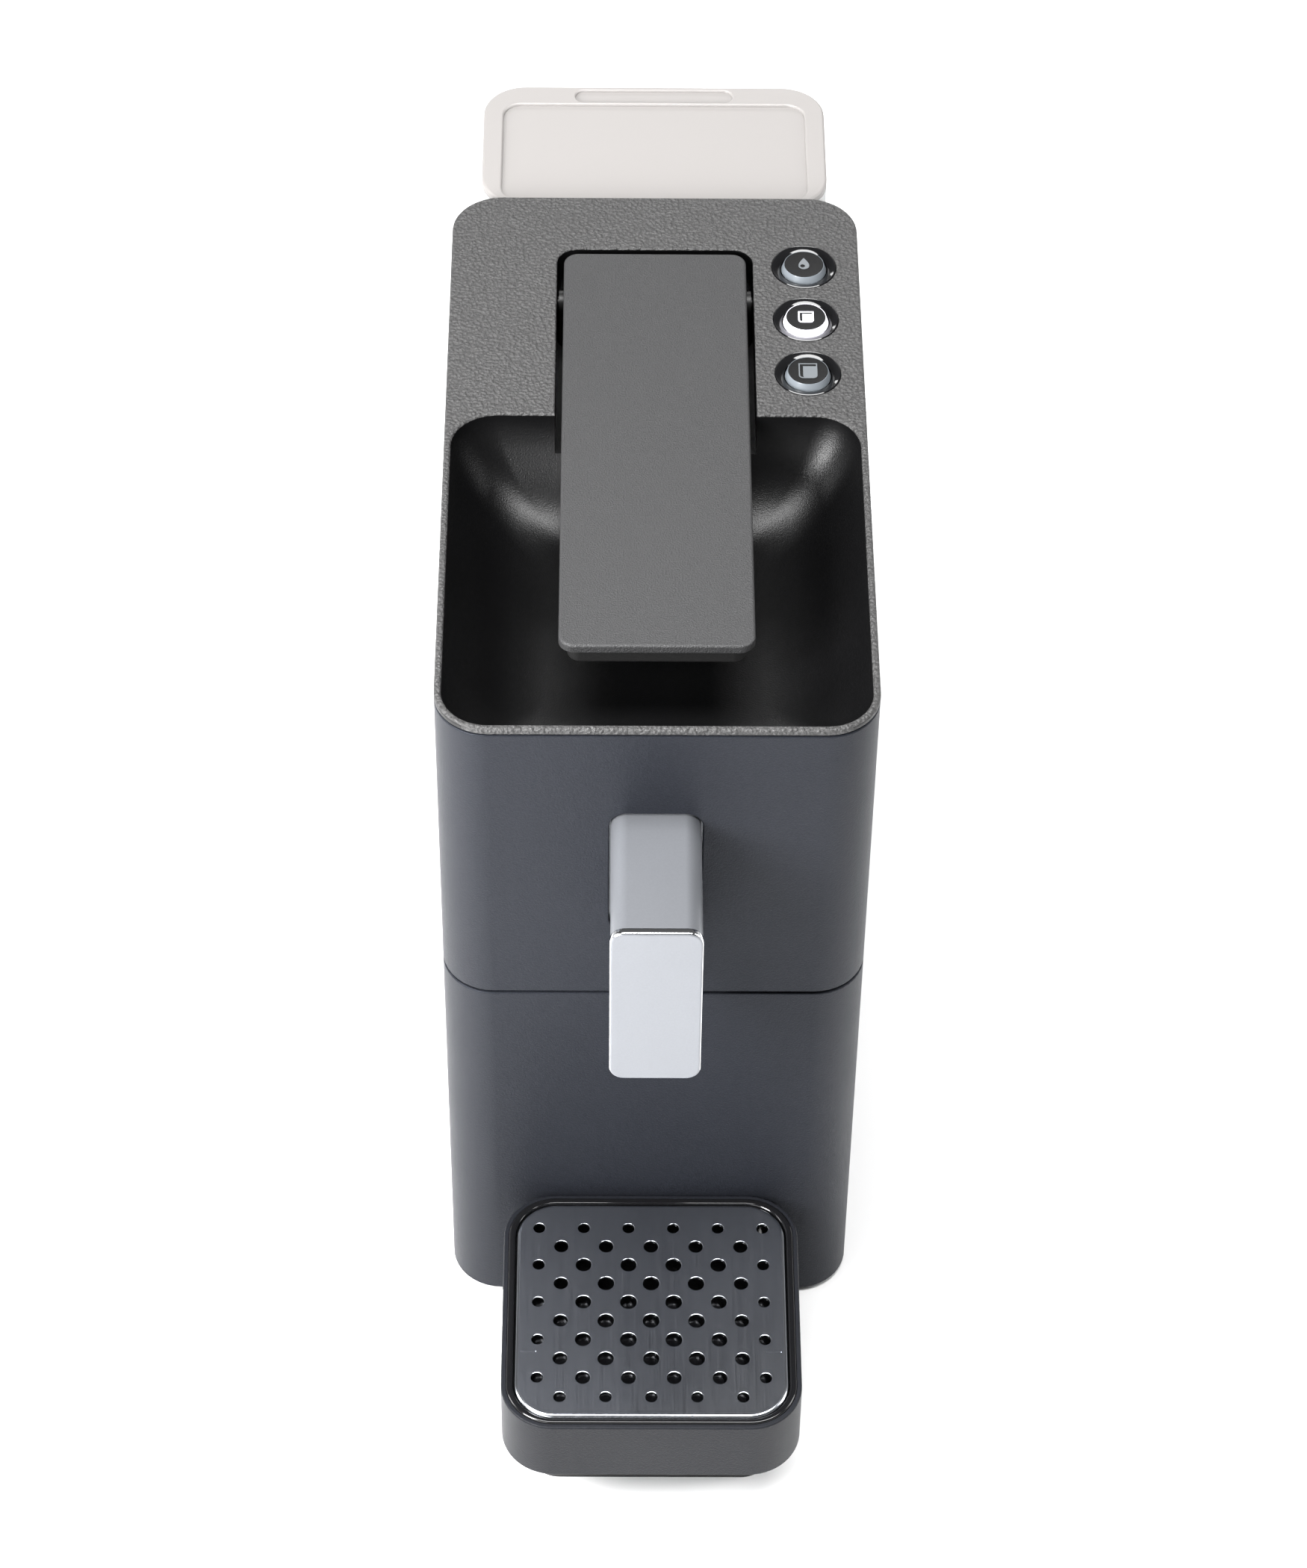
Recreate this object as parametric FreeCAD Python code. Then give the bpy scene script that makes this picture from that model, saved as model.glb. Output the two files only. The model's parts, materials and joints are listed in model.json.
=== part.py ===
import FreeCAD, Part
import math
import os

from FreeCAD import Vector

os.makedirs("parts", exist_ok=True)

# Narrow pod coffee machine.  Millimetres.  While it is drawn, X runs to the right, Y runs
# back from the plane of the front wall and Z runs up from the table.  save() moves every
# piece by ORIGIN_Y, so that the finished model stands with its origin at the bottom centre.

# --- Casing ---------------------------------------------------------------------------
BODY_W = 130.0
BODY_D = 238.5
BODY_H = 269.0
CORNER_R = 16.0
GROUND_GAP = 1.5
LOWER_WALL = 2.5
UPPER_WALL = 1.8
SPLIT_Z = 152.3
SPLIT_GAP = 1.0
SEAM_Z = 266.65
SEAM_GAP = 0.9
EDGE_R = 0.5
CHASSIS_Z = 154.5
CHASSIS_T = 2.5
BASE_T = 2.5

# --- Scoop in the top cover: how far in from its rim, and how deep below the deck -------
SCOOP_HALF_W = 61.6
SCOOP_FRONT = 3.4
SCOOP_REAR = 135.7
SCOOP_CORNER_R = 14.0
SCOOP_PROFILE = [(0.0, 0.0), (1.6, 5.0), (4.8, 13.0), (10.5, 20.5), (19.5, 27.0), (30.0, 30.0)]
SCOOP_WALL = 1.5
MOUTH_HALF_W = 21.0
MOUTH_FRONT = 68.0
MOUTH_REAR = 102.0

# --- Lever -----------------------------------------------------------------------------
LEVER_HALF_W = 29.0
LEVER_FRONT = 34.0
LEVER_REAR = 210.6
LEVER_T = 2.8
LEVER_BODY_HALF_W = 26.5
LEVER_BODY_Z = 259.2
GROOVE = 2.2
WELL_FLOOR_Z = 256.0
WELL_FLOOR_END = 178.0
HINGE_Y = 195.0
HINGE_Z = 261.5
HINGE_PIN_R = 2.0
CRANK_R = 22.0
CRANK_REST_DEG = 37.5
CRANK_PIN_R = 2.5
YOKE_PLAY = 0.45
RUNNING_FIT = 0.05

# --- Brewing unit ----------------------------------------------------------------------
BREW_Z = 212.0
JAW_R = 22.5
JAW_CAVITY_R = 19.5
JAW_FRONT = 62.0
JAW_RIM = 98.0
ROD_IN = 23.2
ROD_OUT = 25.7
ROD_HALF_H = 4.0
CHEEK_IN = 27.5
CHEEK_OUT = 30.5

# --- Buttons -----------------------------------------------------------------------------
BUTTON_X = 47.4
BUTTON_REAR_Y = 204.2
BUTTON_PITCH = 25.3
BUTTON_NAMES = ["rinse", "small_cup", "large_cup"]
BEZEL_R = 10.35
CAP_R = 6.4
BUTTON_TOP = 270.2

# --- Spout -------------------------------------------------------------------------------
SPOUT_HALF_W = 13.4
SPOUT_TOP = 232.6
SPOUT_BOTTOM = 181.5
SPOUT_REACH = 46.5
SPOUT_CAP_T = 2.5
SPOUT_TIP_Z = 167.3
SPOUT_CORNER_R = 5.0
NOZZLE_Y = -34.0

# --- Drawer with the used-pod bin ----------------------------------------------------------
DRAWER_SEAM_Y = 60.0
DRAWER_FLOOR_Z = 5.0
DRAWER_FLOOR_T = 2.0
DRAWER_DEPTH = 128.0

# --- Drip tray ----------------------------------------------------------------------------
TRAY_HALF_W = 47.0
TRAY_FRONT = -91.4
TRAY_REAR = -0.4
TRAY_BOTTOM = 26.5
TRAY_TOP = 51.8
TRAY_CORNER_R = 16.5
GRID_TOP = 52.5
GRID_HALF_W = 43.0
GRID_FRONT = -87.8
GRID_REAR = -4.6
GRID_CORNER_R = 13.0
HOLE_PITCH = 7.15
HOLE_ROWS = 10
HOLE_FIRST_Y = -80.0

# --- Water tank behind the body -------------------------------------------------------------
TANK_HALF_W = 56.4
TANK_FRONT = 239.7
TANK_REAR = 300.6
TANK_BOTTOM = 30.5
TANK_TOP = 262.5
TANK_CORNER_R = 14.0
TANK_WALL = 2.0
LID_TOP = 265.0
LID_HINGE_Y = 240.9
LID_HINGE_Z = 263.9
DOCK_TOP = 28.0
DOCK_REAR = 297.4

ORIGIN_Y = -(TRAY_FRONT + TANK_REAR) / 2.0


def block(x0, x1, y0, y1, z0, z1):
    """A box between two corners."""
    return Part.makeBox(x1 - x0, y1 - y0, z1 - z0, Vector(x0, y0, z0))


def outline(x0, x1, y0, y1, z, r):
    """A level rounded rectangle as a closed wire."""
    k = r * (1.0 - math.sqrt(0.5))
    corners = [
        (x1 - r, y0, x1 - k, y0 + k, x1, y0 + r),
        (x1, y1 - r, x1 - k, y1 - k, x1 - r, y1),
        (x0 + r, y1, x0 + k, y1 - k, x0, y1 - r),
        (x0, y0 + r, x0 + k, y0 + k, x0 + r, y0),
    ]
    edges = []
    for i, (ax, ay, mx, my, bx, by) in enumerate(corners):
        arc = Part.Arc(Vector(ax, ay, z), Vector(mx, my, z), Vector(bx, by, z))
        edges.append(arc.toShape())
        nx, ny = corners[(i + 1) % 4][:2]
        edges.append(Part.makeLine(Vector(bx, by, z), Vector(nx, ny, z)))
    return Part.Wire(edges)


def slab(x0, x1, y0, y1, z0, z1, r):
    """A block whose four upright edges are rounded."""
    face = Part.Face(outline(x0, x1, y0, y1, z0, r))
    return face.extrude(Vector(0, 0, z1 - z0))


def duct(x0, x1, y0, y1, z0, z1, r):
    """A block whose four edges along Y are rounded."""
    flat = slab(x0, x1, z0, z1, 0.0, y1 - y0, r)
    flat.rotate(Vector(0, 0, 0), Vector(1, 0, 0), 90.0)
    flat.translate(Vector(0, y1, 0))
    return flat


def rod_x(x0, x1, y, z, r):
    return Part.makeCylinder(r, x1 - x0, Vector(x0, y, z), Vector(1, 0, 0))


def rod_y(x, y0, y1, z, r):
    return Part.makeCylinder(r, y1 - y0, Vector(x, y0, z), Vector(0, 1, 0))


def rod_z(x, y, z0, z1, r):
    return Part.makeCylinder(r, z1 - z0, Vector(x, y, z0), Vector(0, 0, 1))


def cone_z(x, y, z0, z1, r0, r1):
    return Part.makeCone(r0, r1, z1 - z0, Vector(x, y, z0), Vector(0, 0, 1))


def side_plate(x0, x1, points):
    """A flat plate cut to an outline of (y, z) points."""
    loop = [Vector(x0, y, z) for y, z in points]
    loop.append(loop[0])
    return Part.Face(Part.makePolygon(loop)).extrude(Vector(x1 - x0, 0, 0))


def soften(shape, radius, wanted):
    """Round the edges that the test picks out by their centre point and bounding box."""
    edges = [e for e in shape.Edges if wanted(e.CenterOfMass, e.BoundBox)]
    return shape.makeFillet(radius, edges)


def mirrored(shape):
    """The same piece on the other side of the machine's middle plane."""
    return shape.mirror(Vector(0, 0, 0), Vector(1, 0, 0))


def group(shapes):
    return Part.makeCompound(shapes)


def fused(first, *others):
    return first.fuse(list(others)).removeSplitter()


def save(name, shape):
    shape.translate(Vector(0, ORIGIN_Y, 0))
    shape.exportStep("parts/" + name + ".step")


# --- Casing -----------------------------------------------------------------------------


def body_outline(inset, z0, z1):
    """The machine's rounded plan, drawn in by an inset, as a solid."""
    half = BODY_W / 2.0 - inset
    return slab(-half, half, inset, BODY_D - inset, z0, z1, CORNER_R - inset)


def body_ring(wall, z0, z1):
    return body_outline(0.0, z0, z1).cut(body_outline(wall, z0 - 1.0, z1 + 1.0))


def rim_edge(z):
    """Picks the outer edge loop of a casing at one height."""
    def test(centre, box):
        level = box.ZLength < 0.01 and abs(centre.z - z) < 0.01
        outer_x = abs(abs(centre.x) - BODY_W / 2.0) < CORNER_R * 0.4
        outer_y = min(abs(centre.y), abs(centre.y - BODY_D)) < CORNER_R * 0.4
        reach = max(abs(box.XMin), abs(box.XMax))
        on_side = reach > BODY_W / 2.0 - 0.01
        on_end = box.YMin < 0.01 or box.YMax > BODY_D - 0.01
        return level and (outer_x or outer_y) and (on_side or on_end)
    return test


def upper_shell():
    z0 = SPLIT_Z + SPLIT_GAP / 2.0
    z1 = SEAM_Z - SEAM_GAP / 2.0
    shell = body_ring(UPPER_WALL, z0, z1)
    shell = soften(shell, EDGE_R, rim_edge(z0))
    shell = soften(shell, EDGE_R, rim_edge(z1))
    play = 0.4
    window = duct(
        -SPOUT_HALF_W - play, SPOUT_HALF_W + play, -1.0, UPPER_WALL + 1.0,
        SPOUT_BOTTOM - play, SPOUT_TOP + play, SPOUT_CORNER_R + play,
    )
    ledge = body_ring(LOWER_WALL + 2.0, z0 + 0.4, CHASSIS_Z).cut(body_outline(0.3, 0.0, z0 + 0.2))
    lip = body_outline(UPPER_WALL - 0.2, z0, CHASSIS_Z).cut(body_outline(4.5, z0 - 1.0, CHASSIS_Z + 1.0))
    return fused(shell.cut(window), lip.common(ledge))


def lower_tube():
    z1 = SPLIT_Z - SPLIT_GAP / 2.0
    tube = body_ring(LOWER_WALL, GROUND_GAP, z1)
    tube = soften(tube, EDGE_R, rim_edge(z1))
    return soften(tube, EDGE_R, rim_edge(GROUND_GAP))


def screw_places():
    return [(sx * 54.0, y) for sx in (-1, 1) for y in (148.0, 226.0)]


def lower_housing():
    far = BODY_D + 1.0
    rear = lower_tube().common(block(-70, 70, DRAWER_SEAM_Y + 0.4, far, 0, 200))
    for x, y in screw_places():
        wall_x = math.copysign(BODY_W / 2.0 - 1.0, x)
        web = block(min(x, wall_x), max(x, wall_x), y - 1.0, y + 1.0, 4.2, 24.0)
        rear = rear.fuse([rod_z(x, y, 4.2, 24.0, 4.0), web])
    for x, y in screw_places():
        rear = rear.cut(rod_z(x, y, 4.0, 20.0, 1.5))
    rear = rear.cut(rod_y(30.0, BODY_D - 5.0, far, 19.0, 5.0))
    rear = rear.cut(block(-50.3, 50.3, BODY_D - 2.8, far, 0.0, GROUND_GAP + BASE_T + 0.1))
    return rear.removeSplitter()


def base_plate():
    z0 = GROUND_GAP
    z1 = GROUND_GAP + BASE_T
    plate = slab(-62.2, 62.2, 60.0, 235.7, z0, z1, 13.0)
    front = block(-62.2, 62.2, 62.0, 90.0, z0, z1)
    dock = slab(-51.2, 51.2, 240.0, DOCK_REAR - 2.8, z0, z1, 11.2)
    dock_front = block(-51.2, 51.2, 240.0, 260.0, z0, z1)
    neck = block(-50.0, 50.0, 230.0, 242.0, z0, z1)
    plate = plate.cut(block(-70, 70, 50, 62.0, 0, 10))
    plate = fused(plate, front, dock, dock_front, neck)
    for x, y in screw_places():
        plate = plate.cut(rod_z(x, y, 0.0, 10.0, 1.9))
        plate = plate.cut(rod_z(x, y, 0.0, z0 + 1.2, 3.6))
    for x, y in foot_places():
        plate = plate.cut(rod_z(x, y, 0.0, 10.0, 3.0))
    return plate


def foot_places():
    return [(sx * 46.0, y) for sx in (-1, 1) for y in (78.0, 215.0)] + [(-40.0, 284.0), (40.0, 284.0)]


def rubber_feet():
    """Round feet, each with a plug that is pushed through the base plate."""
    feet = []
    for x, y in foot_places():
        pad = rod_z(x, y, 0.0, GROUND_GAP, 7.0)
        stem = rod_z(x, y, GROUND_GAP, GROUND_GAP + BASE_T, 2.95)
        feet.append(fused(pad, stem))
    return group(feet)


def housing_screws():
    screws = []
    for x, y in screw_places():
        head = rod_z(x, y, GROUND_GAP - 0.1, GROUND_GAP + 1.15, 3.2)
        slot = block(x - 2.4, x + 2.4, y - 0.4, y + 0.4, 0.0, GROUND_GAP + 0.6)
        shank = rod_z(x, y, GROUND_GAP + 1.0, 19.0, 1.45)
        screws.append(fused(head.cut(slot), shank))
    return group(screws)


def chassis_plate():
    plate = slab(-60.2, 60.2, 4.8, BODY_D - 4.8, CHASSIS_Z, CHASSIS_Z + CHASSIS_T, 11.0)
    plate = plate.cut(block(-24.6, 24.6, 58.6, 113.4, 150, 160))
    return plate.cut(rod_z(-12.0, 205.0, 150, 160, 6.0))


# --- Top cover with the scoop, the lever well and the pod mouth ---------------------------


def scoop_section(inset, depth, grow):
    half = SCOOP_HALF_W - inset + grow
    r = max(SCOOP_CORNER_R - 0.28 * inset, 5.0) + grow
    y0 = SCOOP_FRONT + inset - grow
    y1 = SCOOP_REAR - inset + grow
    return outline(-half, half, y0, y1, BODY_H - depth, r)


def scoop_solid(grow, drop):
    sections = [scoop_section(inset, depth + drop, grow) for inset, depth in SCOOP_PROFILE]
    return Part.makeLoft(sections, True, False)


def top_cover():
    z_under = SEAM_Z + SEAM_GAP / 2.0
    deck = body_outline(0.0, z_under, BODY_H)
    deck = soften(deck, 0.9, rim_edge(BODY_H))
    deck = soften(deck, 0.4, rim_edge(z_under))
    skirt = body_outline(UPPER_WALL + 0.2, 262.5, z_under)
    skirt = skirt.cut(body_outline(UPPER_WALL + 1.6, 261.0, BODY_H))
    bowl = scoop_solid(SCOOP_WALL, SCOOP_WALL + 0.4)
    slot_half = LEVER_HALF_W + GROOVE
    slot_rear = LEVER_REAR + GROOVE
    well = block(-slot_half - 2, slot_half + 2, 126, slot_rear + 2, WELL_FLOOR_Z - 2, z_under)
    cover = deck.fuse([skirt, bowl, well])
    for x, y, z in board_posts():
        cover = cover.fuse([rod_z(x, y, z, z_under, 2.5)])
    hollow = scoop_solid(0.0, 0.0)
    rim_cut = Part.Face(scoop_section(0.0, 0.0, 0.0)).extrude(Vector(0, 0, 1.0))
    slot = slab(-slot_half, slot_half, 90.0, slot_rear, WELL_FLOOR_Z, BODY_H + 1, 6.5)
    drop = block(-slot_half, slot_half, WELL_FLOOR_END, slot_rear, WELL_FLOOR_Z - 3, WELL_FLOOR_Z + 1)
    mouth = slab(-MOUTH_HALF_W, MOUTH_HALF_W, MOUTH_FRONT, MOUTH_REAR, 230.0, 242.0, 8.0)
    cover = cover.cut([hollow, rim_cut, slot, drop, mouth])
    for y in button_ys():
        cover = cover.cut(rod_z(BUTTON_X, y, 250.0, BODY_H + 1, BEZEL_R + 0.05))
    return cover.removeSplitter()


# --- Lever ------------------------------------------------------------------------------


def lever_cover():
    plate = slab(
        -LEVER_HALF_W, LEVER_HALF_W, LEVER_FRONT, LEVER_REAR, BODY_H - LEVER_T, BODY_H, 4.6
    )
    return soften(plate, 0.7, lambda c, b: b.ZLength < 0.01 and c.z > BODY_H - 0.01)


def crank_end():
    """Centre of the crank pin when the lever is down."""
    angle = math.radians(CRANK_REST_DEG)
    return HINGE_Y + CRANK_R * math.sin(angle), HINGE_Z - CRANK_R * math.cos(angle)


def crank_arm(x0, x1):
    pin_y, pin_z = crank_end()
    hub = rod_x(x0, x1, HINGE_Y, HINGE_Z, 4.4)
    tip = rod_x(x0, x1, pin_y, pin_z, 4.6)
    reach_y = pin_y - HINGE_Y
    reach_z = pin_z - HINGE_Z
    side_y = -reach_z / CRANK_R * 4.4
    side_z = reach_y / CRANK_R * 4.4
    web = side_plate(x0, x1, [
        (HINGE_Y + side_y, HINGE_Z + side_z),
        (pin_y + side_y, pin_z + side_z),
        (pin_y - side_y, pin_z - side_z),
        (HINGE_Y - side_y, HINGE_Z - side_z),
    ])
    return fused(hub, tip, web)


def lever_frame():
    z1 = BODY_H - LEVER_T
    half = LEVER_BODY_HALF_W
    beam = slab(-half, half, LEVER_FRONT + 2.6, 206.5, LEVER_BODY_Z, z1, 4.0)
    beam = soften(beam, 1.2, lambda c, b: b.ZLength < 0.01 and c.z < LEVER_BODY_Z + 0.01)
    arms = [crank_arm(18.0, 22.0), crank_arm(-22.0, -18.0)]
    frame = beam.fuse(arms)
    above = block(-40, 40, 150, 230, z1, z1 + 10)
    pin_y, pin_z = crank_end()
    frame = frame.cut([
        above,
        rod_x(-40, 40, HINGE_Y, HINGE_Z, HINGE_PIN_R + RUNNING_FIT),
        rod_x(-40, 40, pin_y, pin_z, CRANK_PIN_R),
    ])
    return frame.removeSplitter()


def crank_pin():
    pin_y, pin_z = crank_end()
    return rod_x(-26.6, 26.6, pin_y, pin_z, CRANK_PIN_R)


def hinge_pin():
    return rod_x(-30.9, 30.9, HINGE_Y, HINGE_Z, HINGE_PIN_R)


# --- Brewing unit -------------------------------------------------------------------------


def brew_cheek():
    """Right-hand side plate of the brewing unit, with the ear that holds the lever's pin."""
    z0 = CHASSIS_Z + CHASSIS_T
    plate = side_plate(CHEEK_IN, CHEEK_OUT, [
        (48.0, z0), (199.0, z0), (199.0, HINGE_Z), (191.0, HINGE_Z), (191.0, 226.0),
        (176.0, 200.0), (126.0, 200.0), (126.0, 234.5), (60.0, 234.5), (48.0, 220.0),
    ])
    ear = rod_x(CHEEK_IN, CHEEK_OUT, HINGE_Y, HINGE_Z, 4.0)
    foot = block(CHEEK_OUT, CHEEK_OUT + 9.0, 48.0, 199.0, z0, z0 + 2.5)
    plate = fused(plate, ear, foot)
    plate = plate.cut(rod_x(20, 40, HINGE_Y, HINGE_Z, HINGE_PIN_R))
    for y, z in head_screw_places():
        plate = plate.cut(rod_x(20, 40, y, z, 1.6))
    for y in (60.0, 123.0, 186.0):
        plate = plate.cut(rod_z(CHEEK_OUT + 5.0, y, z0 - 1, z0 + 4, 1.7))
    return plate


def head_screw_places():
    return [(107.0, BREW_Z - 21.0), (107.0, BREW_Z + 19.0)]


def brew_head():
    """Fixed half of the pod chamber: a cross plate with a round nose and a seal groove."""
    plate = block(-CHEEK_IN, CHEEK_IN, 104.0, 110.0, 186.0, 234.5)
    nose = rod_y(0, 94.0, 104.0, BREW_Z, 18.5)
    boss = rod_y(0, 110.0, 117.0, BREW_Z, 8.0)
    head = fused(plate, nose, boss)
    for side in (-1, 1):
        x0 = min(side * (ROD_IN - 0.5), side * (ROD_OUT + 0.5))
        x1 = max(side * (ROD_IN - 0.5), side * (ROD_OUT + 0.5))
        low = BREW_Z - ROD_HALF_H - 0.5
        high = BREW_Z + ROD_HALF_H + 0.5
        head = head.cut(block(x0, x1, 100.0, 112.0, low, high))
    groove = rod_y(0, 96.0, 99.0, BREW_Z, 30.0).cut(rod_y(0, 95.0, 100.0, BREW_Z, 17.0))
    head = head.cut([groove, rod_y(0, 90.0, 120.0, BREW_Z, 2.5)])
    for y, z in head_screw_places():
        head = head.cut(rod_x(-40, -16, y, z, 1.3))
        head = head.cut(rod_x(16, 40, y, z, 1.3))
    return head


def head_seal():
    return rod_y(0, 96.0, 99.0, BREW_Z, 19.2).cut(rod_y(0, 95.0, 100.0, BREW_Z, 17.0))


def piercing_needles():
    """Hollow points round the water inlet that pierce the pod."""
    needles = []
    for i in range(3):
        turn = math.radians(90.0 + 120.0 * i)
        x = 9.0 * math.cos(turn)
        z = BREW_Z + 9.0 * math.sin(turn)
        shaft = rod_y(x, 90.5, 94.0, z, 1.3)
        point = Part.makeCone(0.1, 1.3, 3.5, Vector(x, 87.0, z), Vector(0, 1, 0))
        needles.append(fused(shaft, point))
    return group(needles)


def brew_jaw():
    """Sliding half of the pod chamber: a cup that opens backwards, with its outlet below."""
    cup = rod_y(0, JAW_FRONT, JAW_RIM, BREW_Z, JAW_R)
    boss = rod_x(-ROD_IN, ROD_IN, 78.0, BREW_Z, 3.6)
    outlet = rod_y(0, 54.0, JAW_FRONT + 2.0, 197.5, 3.6)
    jaw = fused(cup, boss, outlet)
    cavity = rod_y(0, JAW_FRONT + 4.0, JAW_RIM + 1.0, BREW_Z, JAW_CAVITY_R)
    bore = rod_y(0, 50.0, JAW_FRONT + 5.0, 197.5, 1.8)
    return jaw.cut([cavity, bore])


def pull_rod():
    """Right-hand pull rod; the crank pin runs in the upright slot of its yoke."""
    pin_y, pin_z = crank_end()
    z0 = BREW_Z - ROD_HALF_H
    z1 = BREW_Z + ROD_HALF_H
    lowest = HINGE_Z - CRANK_R - CRANK_PIN_R - YOKE_PLAY
    highest = pin_z + CRANK_PIN_R + YOKE_PLAY
    bar = block(ROD_IN, ROD_OUT, 70.0, pin_y + 6.0, z0, z1)
    yoke = block(ROD_IN, ROD_OUT, pin_y - 6.0, pin_y + 6.0, z0, highest + 2.4)
    half = CRANK_PIN_R + YOKE_PLAY
    slot = block(20, 30, pin_y - half, pin_y + half, lowest, highest)
    return fused(bar, yoke).cut(slot)


def pull_rods():
    return group([pull_rod(), mirrored(pull_rod())])


def pod_chute():
    """Square duct that guides the used pod down into the bin."""
    outer = block(-24.0, 24.0, 59.2, 112.8, 143.0, 184.0)
    return outer.cut(block(-22.6, 22.6, 60.6, 111.4, 140.0, 190.0))


def coffee_trough():
    """Open channel from under the jaw's outlet to the nozzle."""
    z0 = SPOUT_BOTTOM + 2.7
    z1 = BREW_Z - JAW_R - 0.5
    channel = block(-6.0, 6.0, -39.0, 57.0, z0, z1)
    channel = channel.cut(block(-4.8, 4.8, -37.8, 55.8, z0 + 1.2, z1 + 1.0))
    return channel.cut(rod_z(0, NOZZLE_Y, 180.0, 190.0, 2.2))


def brew_screws():
    """Screws that hold the brew head between the two side plates."""
    screws = []
    for y, z in head_screw_places():
        head = rod_x(CHEEK_OUT, CHEEK_OUT + 1.8, y, z, 2.8)
        shank = rod_x(CHEEK_OUT - 12.0, CHEEK_OUT, y, z, 1.25)
        screw = fused(head, shank)
        screws += [screw, mirrored(screw)]
    return group(screws)


# --- Water circuit ---------------------------------------------------------------------------


def thermoblock():
    """Cast heater with cooling ribs along its sides and two pipe stubs."""
    block_y0 = 124.0
    block_y1 = 178.0
    body = block(-19.0, 19.0, block_y0, block_y1, 160.0, 190.0)
    ribs = [block(-21.5, 21.5, y, y + 2.5, 162.0, 188.0) for y in (128.0, 138.0, 148.0, 158.0, 168.0)]
    feet = [block(-21.5, 21.5, y, y + 8.0, 157.0, 160.0) for y in (block_y0, block_y1 - 8.0)]
    stub_in = rod_y(-12.0, block_y1, block_y1 + 8.0, 175.0, 3.0)
    stub_out = rod_z(0.0, 130.0, 190.0, 196.0, 3.0)
    return fused(body, *ribs, *feet, stub_in, stub_out)


def pump_body():
    """Tube of the vibration pump with its two end fittings."""
    tube = rod_y(-26.0, 140.0, 212.0, 42.0, 8.0)
    inlet = rod_y(-26.0, 212.0, 220.0, 42.0, 3.0)
    flange = rod_y(-26.0, 200.0, 203.0, 42.0, 12.0)
    outlet = rod_z(-26.0, 146.0, 44.0, 66.0, 3.0)
    return fused(tube, inlet, flange, outlet)


def pump_coil():
    coil = slab(-46.0, -6.0, 152.0, 194.0, 22.0, 62.0, 3.0)
    return coil.cut(rod_y(-26.0, 150.0, 196.0, 42.0, 8.05))


def pump_mounts():
    """Rubber blocks that carry the pump on the base plate."""
    z0 = GROUND_GAP + BASE_T
    mounts = []
    for y in (142.0, 204.0):
        block_shape = block(-42.0, -10.0, y, y + 7.0, z0, 44.0)
        mounts.append(block_shape.cut(rod_y(-26.0, y - 1.0, y + 8.0, 42.0, 8.0)))
    return group(mounts)


def flow_meter():
    case = rod_z(30.0, 204.0, 14.0, 30.0, 15.0)
    inlet = rod_y(30.0, 216.0, 226.0, 19.0, 3.0)
    outlet = rod_x(8.0, 18.0, 204.0, 25.0, 3.0)
    post = rod_z(30.0, 204.0, GROUND_GAP + BASE_T, 14.0, 5.0)
    return fused(case, inlet, outlet, post)


def hose(points, radius):
    """A round hose along straight runs joined by tangent arcs."""
    runs = []
    for a, b in zip(points, points[1:]):
        runs.append(Vector(*b).sub(Vector(*a)))
    edges = []
    start = Vector(*points[0])
    for i in range(1, len(points) - 1):
        before = runs[i - 1]
        after = runs[i]
        turn = before.getAngle(after)
        cut_back = 0.45 * min(before.Length, after.Length)
        corner = Vector(*points[i])
        entry = corner - before.normalize() * cut_back
        leave_dir = Vector(after).normalize()
        leave = corner + leave_dir * cut_back
        bend = cut_back / math.tan(turn / 2.0)
        inward = leave_dir - before
        inward.normalize()
        middle = corner + inward * (bend / math.cos(turn / 2.0) - bend)
        edges.append(Part.makeLine(start, entry))
        edges.append(Part.Arc(entry, middle, leave).toShape())
        start = leave
    edges.append(Part.makeLine(start, Vector(*points[-1])))
    path = Part.Wire(edges)
    first = Vector(*points[1]).sub(Vector(*points[0]))
    ring = Part.Wire(Part.makeCircle(radius, Vector(*points[0]), first))
    return path.makePipeShell([ring], True, True)


HOSES = {
    "hose_tank_to_meter": [(0, 262, 19), (0, 249, 19), (30, 248, 19), (30, 226, 19)],
    "hose_meter_to_pump": [(8, 204, 25), (-3, 204, 25), (-8, 230, 30), (-26, 232, 42), (-26, 220, 42)],
    "hose_pump_to_heater": [
        (-26, 146, 66), (-26, 146, 112), (-12, 205, 124), (-12, 205, 175), (-12, 186, 175),
    ],
    "hose_heater_to_head": [(0, 130, 196), (0, 130, 212), (0, 117, 212)],
}


# --- Electrics ---------------------------------------------------------------------------------


def button_ys():
    return [BUTTON_REAR_Y - BUTTON_PITCH * i for i in range(3)]


def board_posts():
    ys = button_ys()
    return [(BUTTON_X, (ys[i] + ys[i + 1]) / 2.0, 251.0) for i in range(2)]


def control_board():
    """Board under the buttons with one switch for each of them."""
    ys = button_ys()
    board = block(BUTTON_X - 9.5, BUTTON_X + 9.5, ys[-1] - 9.0, ys[0] + 9.0, 249.4, 251.0)
    switches = [block(BUTTON_X - 3, BUTTON_X + 3, y - 3, y + 3, 251.0, 254.4) for y in ys]
    return fused(board, *switches)


def power_board():
    board = block(-52.0, -50.4, 60.0, 185.0, 166.0, 236.0)
    relay = block(-50.4, -38.0, 80.0, 100.0, 180.0, 200.0)
    choke = rod_x(-50.4, -39.0, 130.0, 205.0, 9.0)
    foot = block(-52.0, -44.0, 60.0, 185.0, CHASSIS_Z + CHASSIS_T, 166.0)
    return fused(board, relay, choke, foot)


# --- Buttons -------------------------------------------------------------------------------------


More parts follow.
